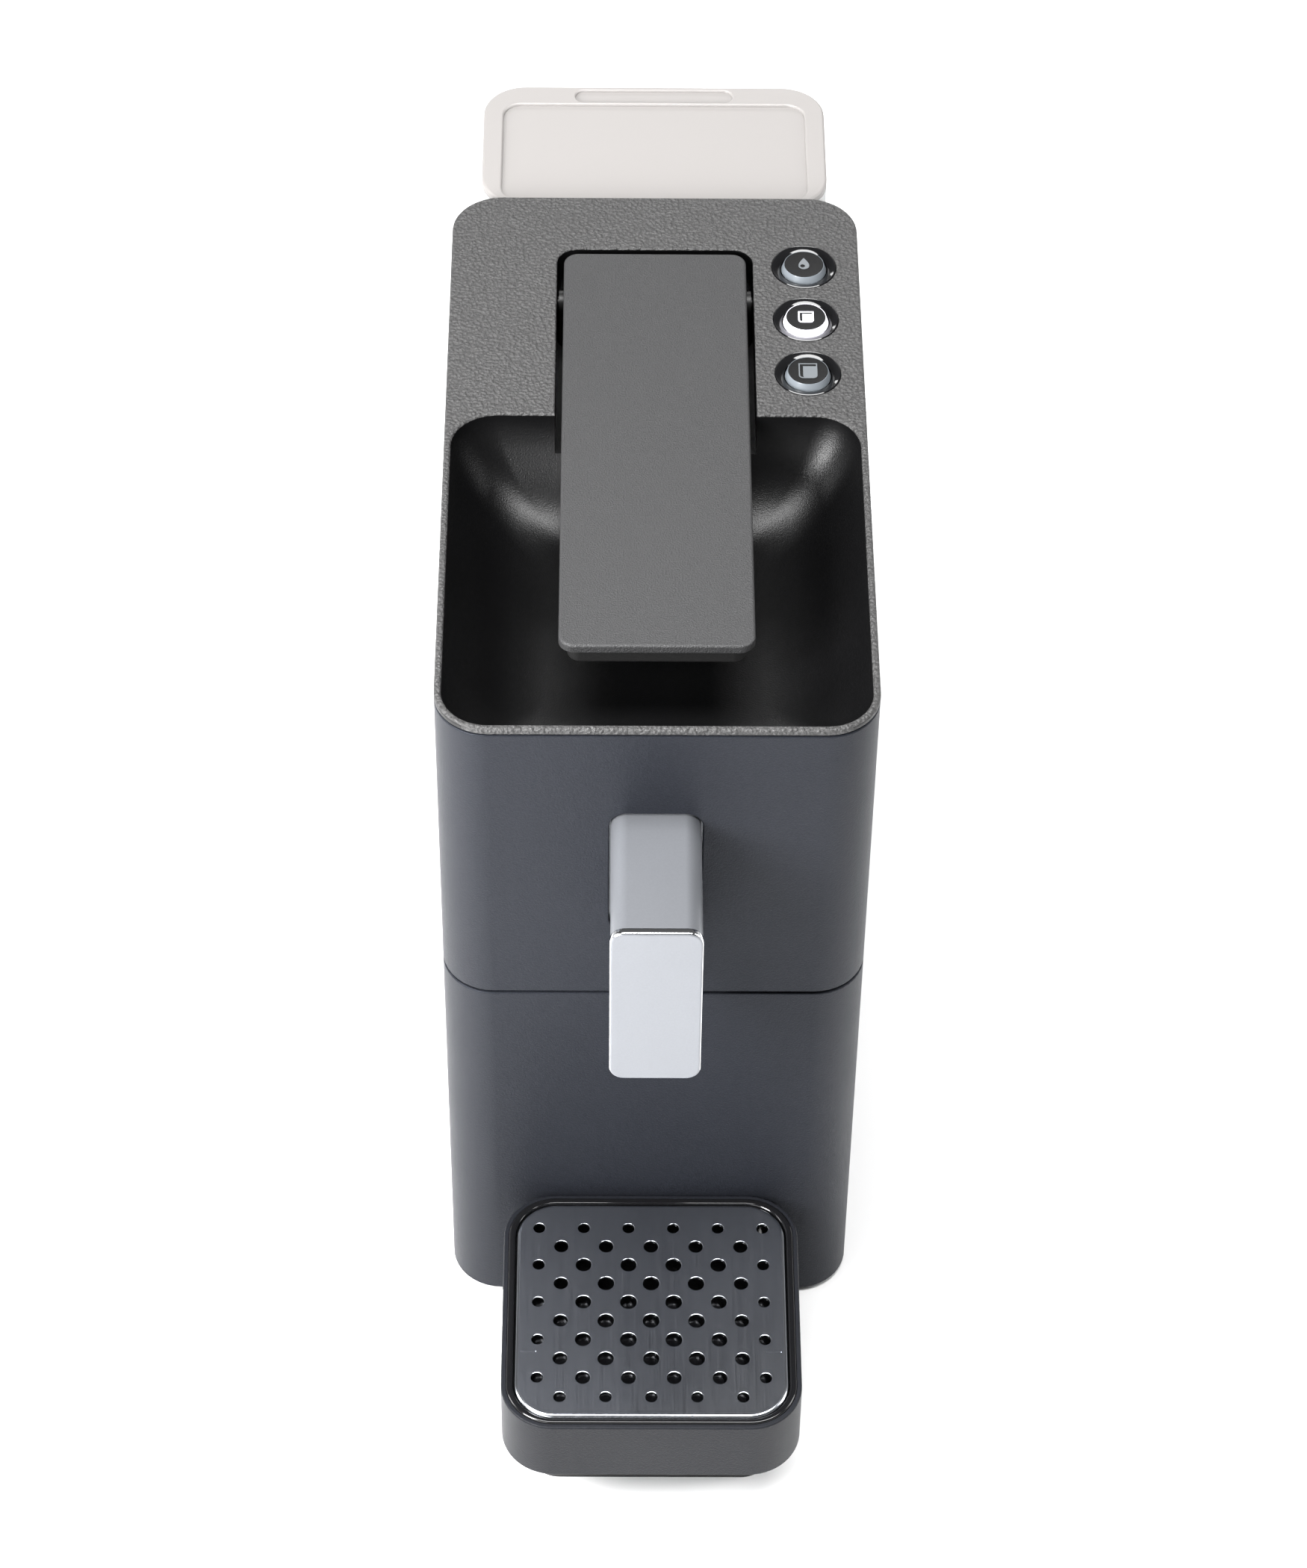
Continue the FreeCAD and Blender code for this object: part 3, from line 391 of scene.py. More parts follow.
deck_plastic = grained(
    "deck_plastic", (0.0600, 0.0590, 0.0590), 0.56, 0.00095, 0.00075, pebbled=True
)
# The scoop is the deck's plastic; its near-black colour here is painted shade.
scoop_painted_shade = grained(
    "scoop_painted_shade", (0.0020, 0.0020, 0.0022), 0.34, 0.00045, 0.00008, specular=0.34
)
cover_low, deck_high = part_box("top_cover")
shell_low, shell_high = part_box("upper_shell")
deck_low = Vector((-deck_high.x, shell_low.y, deck_high.z - DECK_T))
deck_high = Vector((deck_high.x, shell_high.y, deck_high.z))
cover = block("cover_top", deck_low, deck_high, CASING_CORNER, steps=DECK_STEPS)
deck_top = deck_high.z
round_edges(cover, lambda middle, way: middle.z > deck_top - HAIR and abs(way.z) < 0.1, DECK_EDGE, 4)
lever_low, lever_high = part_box("lever_cover")
well_half = lever_high.x + GROOVE
well_back = lever_high.y + GROOVE
well_floor = deck_top - WELL_DEPTH
combine(cover, scoop("bowl", SCOOP_WALL, deck_top - 0.0005, False), "UNION")
well = block(
    "well", (-well_half - WELL_WALL, lever_low.y + WELL_FRONT, well_floor - WELL_WALL),
    (well_half + WELL_WALL, well_back + WELL_WALL, deck_top - GROOVE_EDGE), WELL_CORNER,
)
combine(cover, well, "UNION")
combine(cover, scoop("hollow", 0.0, deck_top, True))
slot_low = (-well_half, lever_low.y + GROOVE_FRONT, well_floor)
slot_high = (well_half, well_back, deck_top)
combine(cover, opening("groove", slot_low, slot_high, WELL_CORNER, GROOVE_EDGE))
drop_low = (-well_half, lever_low.y + DROP_FRONT, well_floor - DROP_EXTRA)
drop_high = (well_half, well_back, deck_top - DROP_ROOF)
combine(cover, block("drop", drop_low, drop_high, WELL_CORNER))
mouth_low = (-MOUTH_HALF, lever_low.y + MOUTH_FRONT, cover_low.z - 0.005)
mouth_high = (MOUTH_HALF, lever_low.y + MOUTH_BACK, deck_top - SCOOP_DEPTH + 0.003)
combine(cover, block("mouth", mouth_low, mouth_high, MOUTH_CORNER))
for name in ("rinse", "small_cup", "large_cup"):
    low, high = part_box("bezel_" + name)
    middle = (low + high) / 2.0
    below = (middle.x, middle.y, low.z - 0.01)
    above = (middle.x, middle.y, high.z + 0.01)
    combine(cover, rod("bore", below, above, (high.x - low.x) / 2.0 + BEZEL_PLAY, 96))
soften(cover)
dress(cover, deck_plastic, "deck_plastic", "machine", "top_cover")
# Faces sunk in the scoop and in the lever's well take the near-black colour: painted shade.
cover.data.materials.append(scoop_painted_shade)
for face in cover.data.polygons:
    sunk = face.center.z < deck_top - SUNK and abs(face.center.x) < -cover_low.x - SCOOP_SIDE
    if sunk and cover_low.y + SCOOP_SIDE < face.center.y < well_back + 0.001:
        face.material_index = 1


# --- Lever ---------------------------------------------------------------------------
# The lever's cover is a flat plate with rounded edges, in the same plastic as the deck but
# with a finer grain.  It is clipped over a ribbed frame whose two arms turn on a steel pin.

FRAME_IN = 0.0026
FRAME_HALF = 0.0265
FRAME_T = 0.0070
FRAME_BACK = 0.0041
FRAME_CORNER = 0.004
FRAME_EDGE = 0.0012
FRAME_RIM = 0.0010
PLATE_CORNER = 0.0046
PLATE_EDGE = 0.0008
RIB_T = 0.0014
RIB_PITCH = 0.028
RIB_COUNT = 5
ARM_OUT = 0.0220
ARM_T = 0.0040
HUB_R = 0.0044
TIP_R = 0.0046
WEB_HALF = 0.0042
HINGE_BORE = 0.00205
CRANK_BORE = 0.0025

lever_plastic = grained("lever_plastic", (0.0220, 0.0220, 0.0228), 0.56, 0.00055, 0.00034)
plate = block("lever_plate", lever_low, lever_high, PLATE_CORNER)
plate_top = lever_high.z
round_edges(plate, lambda middle, way: middle.z > plate_top - HAIR and abs(way.z) < 0.1, PLATE_EDGE, 4)
soften(plate)
dress(plate, lever_plastic, "lever_plastic", "lever", "lever_cover")

underside = grained("lever_underside", (0.0070, 0.0070, 0.0070), 0.45, 0.0006, 0.00003)
frame_top = lever_low.z
frame_bottom = frame_top - FRAME_T
beam_low = (-FRAME_HALF, lever_low.y + FRAME_IN, frame_bottom)
beam_high = (FRAME_HALF, lever_high.y - FRAME_BACK, frame_top)
beam = block("lever_beam", beam_low, beam_high, FRAME_CORNER)
round_edges(
    beam, lambda middle, way: middle.z < frame_bottom + HAIR and abs(way.z) < 0.1, FRAME_EDGE, 4
)
pick(beam, "FACE", lambda middle, way: way.z < -0.9)
bpy.ops.mesh.inset(thickness=FRAME_RIM)
bpy.ops.mesh.extrude_region_move(TRANSFORM_OT_translate={"value": (0, 0, FRAME_T * 0.7)})
leave()
for i in range(RIB_COUNT):
    rib_y = beam_low[1] + RIB_PITCH * (i + 1)
    rib = block(
        "rib", (-FRAME_HALF + FRAME_RIM, rib_y, frame_bottom + FRAME_EDGE),
        (FRAME_HALF - FRAME_RIM, rib_y + RIB_T, frame_top - FRAME_RIM),
    )
    combine(beam, rib, "UNION")
hinge_low, hinge_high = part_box("hinge_pin")
crank_low, crank_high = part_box("crank_pin")
hinge = (hinge_low + hinge_high) / 2.0
crank = (crank_low + crank_high) / 2.0
for side in (-1.0, 1.0):
    near = min(side * ARM_OUT, side * (ARM_OUT - ARM_T))
    far = near + ARM_T
    combine(beam, rod("hub", (near, hinge.y, hinge.z), (far, hinge.y, hinge.z), HUB_R), "UNION")
    combine(beam, rod("tip", (near, crank.y, crank.z), (far, crank.y, crank.z), TIP_R), "UNION")
    web = block(
        "web", (near + 0.0003, -WEB_HALF, -(hinge - crank).length), (far - 0.0003, WEB_HALF, 0.0)
    )
    lean = math.atan2(crank.y - hinge.y, hinge.z - crank.z)
    web.data.transform(Matrix.Translation((0, hinge.y, hinge.z)) @ Matrix.Rotation(lean, 4, "X"))
    combine(beam, web, "UNION")
sweep_high = (FRAME_HALF, lever_high.y, frame_top + 0.004)
combine(beam, block("sweep", (-FRAME_HALF, hinge.y - 0.010, frame_top), sweep_high))
combine(beam, rod("bore", (-0.04, hinge.y, hinge.z), (0.04, hinge.y, hinge.z), HINGE_BORE))
combine(beam, rod("bore", (-0.04, crank.y, crank.z), (0.04, crank.y, crank.z), CRANK_BORE))
soften(beam)
dress(beam, underside, "lever_underside", "lever", "lever_frame")


# --- Buttons -------------------------------------------------------------------------
# Three round push buttons sit in polished black cups.  Each has a dark cap with a printed
# sign on a translucent skirt that a lamp lights up; the middle one is lit.

SIGN_T = 0.00012
CAP_EDGE = 0.00045
CAP_PLAY = 0.00018
CUP_DEPTH = 0.00505
CUP_STEP = 0.0016
CUP_BORE = 0.00635
CUP_FOOT = 0.0088
SKIRT_FOOT = 0.00715
SKIRT_STEM = 0.0059
SKIRT_DROP = 0.0026
LAMP_COLOUR = (0.93, 0.90, 1.0, 1.0)


def turned(name, centre, outline, steps=64):
    """A piece turned about an upright axis from an outline of radii and heights."""
    bpy.ops.object.select_all(action="DESELECT")
    first = outline[0]
    bpy.ops.mesh.primitive_plane_add(size=1e-4, location=(centre[0] + first[0], centre[1], first[1]))
    piece = bpy.context.object
    piece.name = name
    piece.data.name = name
    bpy.ops.object.transform_apply(location=True, rotation=True, scale=True)
    edit(piece)
    bpy.ops.mesh.select_mode(type="VERT")
    bpy.ops.mesh.select_all(action="SELECT")
    bpy.ops.mesh.merge(type="CENTER")
    level = first
    for point in outline[1:]:
        step = (point[0] - level[0], 0.0, point[1] - level[1])
        bpy.ops.mesh.extrude_vertices_move(TRANSFORM_OT_translate={"value": step})
        level = point
    bpy.ops.mesh.select_all(action="SELECT")
    bpy.ops.mesh.spin(
        steps=steps, angle=2.0 * math.pi, center=(centre[0], centre[1], 0.0), axis=(0, 0, 1)
    )
    bpy.ops.mesh.select_all(action="SELECT")
    bpy.ops.mesh.remove_doubles(threshold=1e-6)
    bpy.ops.mesh.normals_make_consistent(inside=False)
    leave()
    return piece


def smooth_plastic(name, colour, roughness, clear=0.0):
    """Polished or satin plastic with a faint ripple and a trace of dust in its gloss."""
    finish = bpy.data.materials.new(name)
    finish.use_nodes = True
    nodes = finish.node_tree.nodes
    links = finish.node_tree.links
    shader = nodes["Principled BSDF"]
    shader.inputs["Base Color"].default_value = (*colour, 1.0)
    shader.inputs["Transmission Weight"].default_value = clear
    place = nodes.new("ShaderNodeTexCoord")
    ripple = nodes.new("ShaderNodeTexNoise")
    ripple.inputs["Scale"].default_value = 160.0
    ripple.inputs["Detail"].default_value = 2.0
    links.new(place.outputs["Object"], ripple.inputs["Vector"])
    bump = nodes.new("ShaderNodeBump")
    bump.inputs["Distance"].default_value = 0.00003
    links.new(ripple.outputs["Fac"], bump.inputs["Height"])
    links.new(bump.outputs["Normal"], shader.inputs["Normal"])
    gloss = nodes.new("ShaderNodeMapRange")
    gloss.inputs["To Min"].default_value = roughness * 0.8
    gloss.inputs["To Max"].default_value = roughness * 1.2
    links.new(ripple.outputs["Fac"], gloss.inputs["Value"])
    links.new(gloss.outputs["Result"], shader.inputs["Roughness"])
    return finish


def glowing(name):
    """Translucent white plastic with a lamp behind it."""
    finish = smooth_plastic(name, (0.50, 0.50, 0.55), 0.3)
    shader = finish.node_tree.nodes["Principled BSDF"]
    shader.inputs["Emission Color"].default_value = LAMP_COLOUR
    shader.inputs["Emission Strength"].default_value = 1.0
    return finish


def cup_sign(name, centre, level, width, height, line, gap):
    """The sign of a cup: a rounded outline open to a filled lower part."""
    bpy.ops.object.select_all(action="DESELECT")
    bpy.ops.mesh.primitive_plane_add(size=1.0, location=(centre[0], centre[1], level))
    ring = bpy.context.object
    ring.name = name
    ring.data.name = name
    ring.scale = (width, height, 1.0)
    bpy.ops.object.transform_apply(location=True, rotation=True, scale=True)
    fill_low = (centre[0] - width / 2.0 + line + gap, centre[1] - height / 2.0 + line * 0.5, level)
    fill_right = centre[0] + width / 2.0 - line * 0.5
    fill_high = (fill_right, centre[1] + height / 2.0 - line - gap, level + SIGN_T)
    edit(ring)
    bpy.ops.mesh.select_mode(type="VERT")
    mesh = bmesh.from_edit_mesh(ring.data)
    for corner in mesh.verts:
        corner.select = corner.co.y < centre[1]
    mesh.select_flush_mode()
    bmesh.update_edit_mesh(ring.data)
    bpy.ops.mesh.bevel(offset=width * 0.24, segments=6, affect="VERTICES")
    bpy.ops.mesh.select_all(action="SELECT")
    bpy.ops.mesh.inset(thickness=line)
    bpy.ops.mesh.delete(type="FACE")
    bpy.ops.mesh.select_all(action="SELECT")
    bpy.ops.mesh.extrude_region_move(TRANSFORM_OT_translate={"value": (0, 0, SIGN_T)})
    bpy.ops.mesh.select_all(action="SELECT")
    bpy.ops.mesh.normals_make_consistent(inside=False)
    leave()
    fill = block("fill", fill_low, fill_high)
    low_edge = fill_low[1] + HAIR
    round_edges(fill, lambda middle, way: abs(way.z) > 0.9 and middle.y < low_edge, width * 0.16, 5)
    combine(ring, fill, "UNION")
    return ring


def drop_sign(name, centre, level, radius):
    """The sign of a water drop: a disc drawn up to a point, with a small round notch."""
    drop = rod(name, (*centre, level), (*centre, level + SIGN_T), radius, 48)
    edit(drop)
    bpy.ops.mesh.select_mode(type="VERT")
    mesh = bmesh.from_edit_mesh(drop.data)
    for corner in mesh.verts:
        corner.select = corner.co.y > centre[1] + radius * 0.999
    mesh.select_flush_mode()
    bmesh.update_edit_mesh(drop.data)
    bpy.ops.transform.translate(
        value=(0, radius * 1.15, 0), use_proportional_edit=True,
        proportional_edit_falloff="SHARP", proportional_size=radius * 1.7,
    )
    leave()
    notch_x = centre[0] - radius * 0.24
    notch_y = centre[1] - radius * 0.08
    notch_low = (notch_x, notch_y, level - SIGN_T)
    combine(drop, rod("notch", notch_low, (notch_x, notch_y, level + 2 * SIGN_T), radius * 0.46, 24))
    return drop


gloss_black = smooth_plastic("gloss_black", (0.0045, 0.0045, 0.0050), 0.07)
cap_black = grained(
    "button_cap", (0.0085, 0.0085, 0.0088), 0.42, 0.0004, 0.00001, specular=0.12
)
skirt_grey = smooth_plastic("light_ring", (0.130, 0.145, 0.160), 0.30)
skirt_lit = glowing("light_ring_lit")
sign_grey = smooth_plastic("sign_grey", (0.110, 0.120, 0.128), 0.35)
sign_lit = glowing("sign_lit")

for name in ("rinse", "small_cup", "large_cup"):
    low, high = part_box("bezel_" + name)
    cap_low, cap_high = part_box("cap_" + name)
    ring_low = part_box("light_ring_" + name)[0]
    middle = ((low + high) / 2.0)[:2]
    outer = (high.x - low.x) / 2.0
    rim = high.z
    cup_floor = rim - CUP_DEPTH
    outline = [
        (outer, low.z), (outer, rim - 0.00045), (outer - 0.00012, rim - 0.00012),
        (outer - 0.00035, rim), (outer - 0.00060, rim - 0.00012), (outer - 0.0013, rim - 0.00034),
        (outer - 0.0021, rim - 0.00070), (outer - 0.0028, rim - 0.00116), (outer - 0.0029, cup_floor),
        (CUP_BORE, cup_floor), (CUP_BORE, cup_floor - CUP_STEP), (CUP_FOOT, cup_floor - CUP_STEP),
        (CUP_FOOT, low.z), (outer, low.z),
    ]
    bezel = turned("bezel_cup_" + name, middle, outline)
    soften(bezel, angle=30.0)
    dress(bezel, gloss_black, "gloss_black", "machine", "bezel_" + name)

    cap_r = (cap_high.x - cap_low.x) / 2.0
    top = cap_high.z
    dip = top - SIGN_T
    disc_r = cap_r - 0.00020
    outline = [
        (0.0, cap_low.z + 0.0001), (disc_r, cap_low.z + 0.0001), (disc_r, top - CAP_EDGE * 0.4),
        (disc_r - CAP_EDGE * 0.3, top - CAP_EDGE * 0.1), (disc_r - CAP_EDGE, top - 0.00002),
        (disc_r - CAP_EDGE * 1.8, dip - 0.00003), (0.0, dip - 0.00004),
    ]
    cap = turned("cap_disc_" + name, middle, outline)
    soften(cap, angle=30.0)
    dress(cap, cap_black, "button_cap", "button_" + name, "cap_" + name)

    step_z = top - SKIRT_DROP
    hole_r = cap_r - CAP_PLAY
    outline = [
        (0.0, ring_low.z), (SKIRT_STEM, ring_low.z), (SKIRT_STEM, step_z),
        (SKIRT_FOOT - 0.0001, step_z), (SKIRT_FOOT, step_z + 0.0002), (cap_r, top - 0.00015),
        (cap_r - 0.0001, top - 0.00004), (hole_r, top - 0.00004), (hole_r, cap_low.z),
        (0.0, cap_low.z),
    ]
    skirt = turned("skirt_" + name, middle, outline)
    soften(skirt, angle=30.0)
    lit = name == "small_cup"
    skirt_slot = "light_ring_lit" if lit else "light_ring"
    dress(skirt, skirt_lit if lit else skirt_grey, skirt_slot, "button_" + name, "light_ring_" + name)

    if name == "rinse":
        sign = drop_sign("sign_" + name, (middle[0], middle[1] - 0.0006), dip, 0.0017)
    elif name == "small_cup":
        sign = cup_sign("sign_" + name, middle, dip, 0.0049, 0.0052, 0.0005, 0.0008)
    else:
        sign = cup_sign("sign_" + name, middle, dip, 0.0058, 0.0068, 0.00036, 0.0010)
    sign.data.materials.clear()
    sign.data.materials.append(sign_lit if lit else sign_grey)
    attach(sign, "button_" + name)


# --- Spout ---------------------------------------------------------------------------
# The spout is a painted hollow arm that comes out of the front, with a plate over its nose.
# The plate's face has the same satin paint and its edge is polished.

ARM_WALL = 0.0018
ARM_CORNER = 0.005
ARM_BORE_CORNER = 0.0034
NOSE_BACK = 0.0240
FLANGE = 0.004
FLANGE_T = 0.0020
FLANGE_CORNER = 0.006
FACE_CORNER = 0.0046
FACE_EDGE = 0.0009
BACK_EDGE = 0.0003


def silvery(name, colour, roughness, metallic):
    """Silver paint, polished metal or a casting, with a very fine grain in it."""
    finish = grained(name, colour, roughness, 0.0006, 0.0000006, mottle=0.06)
    finish.node_tree.nodes["Principled BSDF"].inputs["Metallic"].default_value = metallic
    return finish


satin_silver = silvery("satin_silver", (0.185, 0.192, 0.207), 0.30, 0.55)
chrome = silvery("polished_edge", (0.75, 0.76, 0.78), 0.10, 1.0)
wall_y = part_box("upper_shell")[0].y
cap_low, cap_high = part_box("spout_cap")
arm_low, arm_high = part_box("spout_arm")
arm_half = cap_high.x - CAP_LIP
arm_top = cap_high.z - CAP_LIP
arm_floor = arm_top - ARM_HEIGHT
nose_floor = cap_low.z + 0.0025
arm = block(
    "spout_body", (-arm_half, arm_low.y, arm_floor), (arm_half, arm_high.y, arm_top),
    ARM_CORNER, along=1,
)
nose = block(
    "nose", (-arm_half, arm_low.y - 0.006, nose_floor),
    (arm_half, arm_low.y + NOSE_BACK, arm_floor + 0.008), ARM_CORNER,
)
combine(nose, block("trim", (-0.02, arm_low.y - 0.02, 0.15), (0.02, arm_low.y, 0.25)))
combine(arm, nose, "UNION")
flange_half = arm_half + FLANGE
flange_front = wall_y + UPPER_WALL + 0.0001
flange = block(
    "flange", (-flange_half, flange_front, arm_floor - FLANGE),
    (flange_half, flange_front + FLANGE_T, arm_top + FLANGE + WINDOW_PLAY), FLANGE_CORNER, along=1,
)
combine(arm, flange, "UNION")
bore_half = arm_half - ARM_WALL
bore = block(
    "bore", (-bore_half, arm_low.y + ARM_WALL, arm_floor + ARM_WALL),
    (bore_half, arm_high.y + 0.002, arm_top - ARM_WALL), ARM_BORE_CORNER, along=1,
)
throat = block(
    "throat", (-bore_half, arm_low.y + ARM_WALL, nose_floor - 0.01),
    (bore_half, arm_low.y + NOSE_BACK - ARM_WALL, arm_floor + 0.009), ARM_BORE_CORNER,
)
combine(arm, bore)
combine(arm, throat)
soften(arm)
dress(arm, satin_silver, "satin_silver", "machine", "spout_arm")

cap = block("spout_plate", cap_low, cap_high, FACE_CORNER, along=1)
cap_front = cap_low.y
cap_back = cap_high.y
round_edges(
    cap, lambda middle, way: middle.y < cap_front + HAIR and abs(way.y) < 0.1, FACE_EDGE, 4
)
round_edges(
    cap, lambda middle, way: middle.y > cap_back - HAIR and abs(way.y) < 0.1, BACK_EDGE, 2
)
soften(cap)
dress(cap, satin_silver, "satin_silver", "machine", "spout_cap")
cap.data.materials.append(chrome)
for face in cap.data.polygons:
    face.material_index = 0 if face.normal.y < -0.80 else 1


# --- Drip tray -----------------------------------------------------------------------
# A shell in slightly darker casing plastic holds a polished black pan, and a pressed steel
# grid lies in the pan's rim.  The shell stands on the drawer front's plinth and lifts off.

SHELL_WALL = 0.0015
SHELL_CORNER = 0.0165
SHELL_EDGE = 0.0006
SHELL_STEPS = 14
PAN_CORNER = 0.0149
PAN_EDGE = 0.0007
SEAT_PLAY = 0.00025
SEAT_EDGE = 0.0006
POOL_IN = 0.0022
POOL_CORNER = 0.0108
GRID_CORNER = 0.013
GRID_EDGE = 0.0014
GRID_T = 0.001
HOLE_PITCH = 0.00715
HOLE_FIRST = 0.0078
ROW_PITCH = 0.007293
HOLE_ROWS = 10
HOLE_R = 0.0026
HOLE_SHRINK = 0.00075
HOLE_EDGE = 0.00028
DASH_T = 0.0002
DASH_Y = 0.0243
DASH_IN = 0.0360
DASH_OUT = 0.0410

shell_low, shell_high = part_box("tray_shell")
tray = block("tray_case", shell_low, shell_high, SHELL_CORNER, steps=SHELL_STEPS)
top = shell_high.z
foot = shell_low.z
round_edges(tray, lambda middle, way: middle.z > top - HAIR and abs(way.z) < 0.1, SHELL_EDGE, 3)
round_edges(tray, lambda middle, way: middle.z < foot + HAIR and abs(way.z) < 0.1, SHELL_EDGE, 3)
inside = block(
    "inside", (shell_low.x + SHELL_WALL, shell_low.y + SHELL_WALL, foot + 0.002),
    (shell_high.x - SHELL_WALL, shell_high.y - SHELL_WALL, top + 0.002),
    SHELL_CORNER - SHELL_WALL, steps=SHELL_STEPS,
)
combine(tray, inside)
soften(tray)
tray_colour = [0.7 * c for c in CASING_COLOUR]
tray_plastic = grained(
    "tray_plastic", tray_colour, CASING_ROUGHNESS, CASING_GRAIN, CASING_RELIEF, specular=0.13
)
dress(tray, tray_plastic, "casing_plastic", "tray", "tray_shell")

pan_low, pan_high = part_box("tray_pan")
grid_low, grid_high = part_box("drip_grid")
pan = block("tray_basin", pan_low, pan_high, PAN_CORNER, steps=SHELL_STEPS)
top = pan_high.z
round_edges(pan, lambda middle, way: middle.z > top - HAIR and abs(way.z) < 0.1, PAN_EDGE, 4)
seat = opening(
    "seat", (grid_low.x - SEAT_PLAY, grid_low.y - SEAT_PLAY, grid_low.z - 0.0002),
    (grid_high.x + SEAT_PLAY, grid_high.y + SEAT_PLAY, top), GRID_CORNER + SEAT_PLAY, SEAT_EDGE,
)
pool = block(
    "pool", (grid_low.x + POOL_IN, grid_low.y + POOL_IN, pan_low.z + 0.002),
    (grid_high.x - POOL_IN, grid_high.y - POOL_IN, grid_low.z + 0.001), POOL_CORNER,
)
combine(pan, seat)
combine(pan, pool)
soften(pan)
dress(pan, gloss_black, "gloss_black", "tray", "tray_pan")

grid = block("tray_grid", grid_low, grid_high, GRID_CORNER, steps=SHELL_STEPS)
top = grid_high.z
round_edges(grid, lambda middle, way: middle.z > top - HAIR and abs(way.z) < 0.1, GRID_EDGE, 5)
hollow = block(
    "hollow", (grid_low.x + GRID_T, grid_low.y + GRID_T, grid_low.z - GRID_T),
    (grid_high.x - GRID_T, grid_high.y - GRID_T, top - GRID_T), GRID_CORNER - GRID_T,
)
combine(grid, hollow)
punches = []
for row in range(HOLE_ROWS):
    columns = range(-4, 5, 2) if row % 2 == 0 else range(-5, 6, 2)
    for column in columns:
        edge = max(abs(column) / 5.0, abs(row - 4.5) / 4.5)
        radius = HOLE_R - HOLE_SHRINK * edge ** 3
        x = column * HOLE_PITCH
        y = grid_low.y + HOLE_FIRST + ROW_PITCH * row
        outline = [
            (0.0, top - 0.003), (radius, top - 0.003), (radius, top - HOLE_EDGE),
            (radius + HOLE_EDGE * 0.3, top - HOLE_EDGE * 0.3), (radius + HOLE_EDGE, top),
            (radius + HOLE_EDGE, top + 0.001), (0.0, top + 0.001),
        ]
        punches.append(turned("punch", (x, y), outline, 28))
bpy.ops.object.select_all(action="DESELECT")
for punch in punches:
    punch.select_set(True)
bpy.context.view_layer.objects.active = punches[0]
bpy.ops.object.join()
combine(grid, punches[0])
dash_y = grid_low.y + DASH_Y
for near in (-DASH_OUT, DASH_IN):
    dash_high = (near + DASH_OUT - DASH_IN, dash_y + 0.0009, top + 0.001)
    combine(grid, block("dash", (near, dash_y, top - DASH_T), dash_high, 0.0004))
soften(grid)


def brushed_steel(name, colour, roughness, along):
    """Steel with fine brush marks that run along one axis."""
    finish = bpy.data.materials.new(name)
    finish.use_nodes = True
    nodes = finish.node_tree.nodes
    links = finish.node_tree.links
    shader = nodes["Principled BSDF"]
    shader.inputs["Base Color"].default_value = (*colour, 1.0)
    shader.inputs["Metallic"].default_value = 1.0
    place = nodes.new("ShaderNodeTexCoord")
    pull = nodes.new("ShaderNodeMapping")
    pull.inputs["Scale"].default_value = [60.0 if axis == along else 4200.0 for axis in range(3)]
    marks = nodes.new("ShaderNodeTexNoise")
    marks.inputs["Scale"].default_value = 1.0
    marks.inputs["Detail"].default_value = 3.0
    links.new(place.outputs["Object"], pull.inputs["Vector"])
    links.new(pull.outputs["Vector"], marks.inputs["Vector"])
    bump = nodes.new("ShaderNodeBump")
    bump.inputs["Distance"].default_value = 0.000006
    links.new(marks.outputs["Fac"], bump.inputs["Height"])
    links.new(bump.outputs["Normal"], shader.inputs["Normal"])
    gloss = nodes.new("ShaderNodeMapRange")
    gloss.inputs["To Min"].default_value = roughness * 0.7
    gloss.inputs["To Max"].default_value = roughness * 1.3
    links.new(marks.outputs["Fac"], gloss.inputs["Value"])
    links.new(gloss.outputs["Result"], shader.inputs["Roughness"])
    return finish


grid_steel = brushed_steel("perforated_steel", (0.50, 0.52, 0.56), 0.20, 1)
dress(grid, grid_steel, "perforated_steel", "grid", "drip_grid")


# --- Water tank ----------------------------------------------------------------------
# The tank is a frosted clear moulding with rounded corners, open at the top.  Its lid turns
# on two short pins, held by bored ears on the tank's front wall, and has a raised rim, a
# sunk panel and a hollow for a finger.

TANK_WALL = 0.0020
TANK_CORNER = 0.014
TANK_FOOT = 0.0025
DRAIN_Y = 0.1654
DRAIN_R = 0.007
LID_T = 0.0025
LID_GAP = 0.0003
LID_EDGE = 0.0009
SKIRT_WALL = 0.0014
SKIRT_IN = 0.0025
SKIRT_CORNER = 0.0115
PANEL_HALF = 0.0498
PANEL_DEPTH = 0.0011
FINGER_HALF = 0.026
FINGER_DEPTH = 0.0009
EAR_OUT = 0.040
EAR_IN = 0.036
EAR_R = 0.0011
PIN_BORE = 0.00065


def frosted(name, colour, roughness, clear):
    """Frosted clear plastic, faintly cloudy."""
    finish = smooth_plastic(name, colour, roughness, clear)
    finish.node_tree.nodes["Principled BSDF"].inputs["IOR"].default_value = 1.45
    return finish


tank_low, tank_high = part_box("water_tank")
lid_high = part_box("tank_lid")[1]
tank_plastic = frosted("frosted_clear", (0.62, 0.62, 0.62), 0.42, 0.55)
lid_plastic = frosted("frosted_lid", (0.255, 0.243, 0.236), 0.40, 0.12)
tank_top = lid_high.z - LID_T
tank = block("tank_body", tank_low, (tank_high.x, tank_high.y, tank_top), TANK_CORNER, steps=12)
floor_z = tank_low.z
round_edges(tank, lambda middle, way: middle.z < floor_z + HAIR and abs(way.z) < 0.1, TANK_FOOT, 4)
water_space = block(
    "space", (tank_low.x + TANK_WALL, tank_low.y + TANK_WALL, floor_z + 0.0025),
    (tank_high.x - TANK_WALL, tank_high.y - TANK_WALL, tank_top + 0.002),
    TANK_CORNER - TANK_WALL, steps=12,
)
combine(tank, water_space)
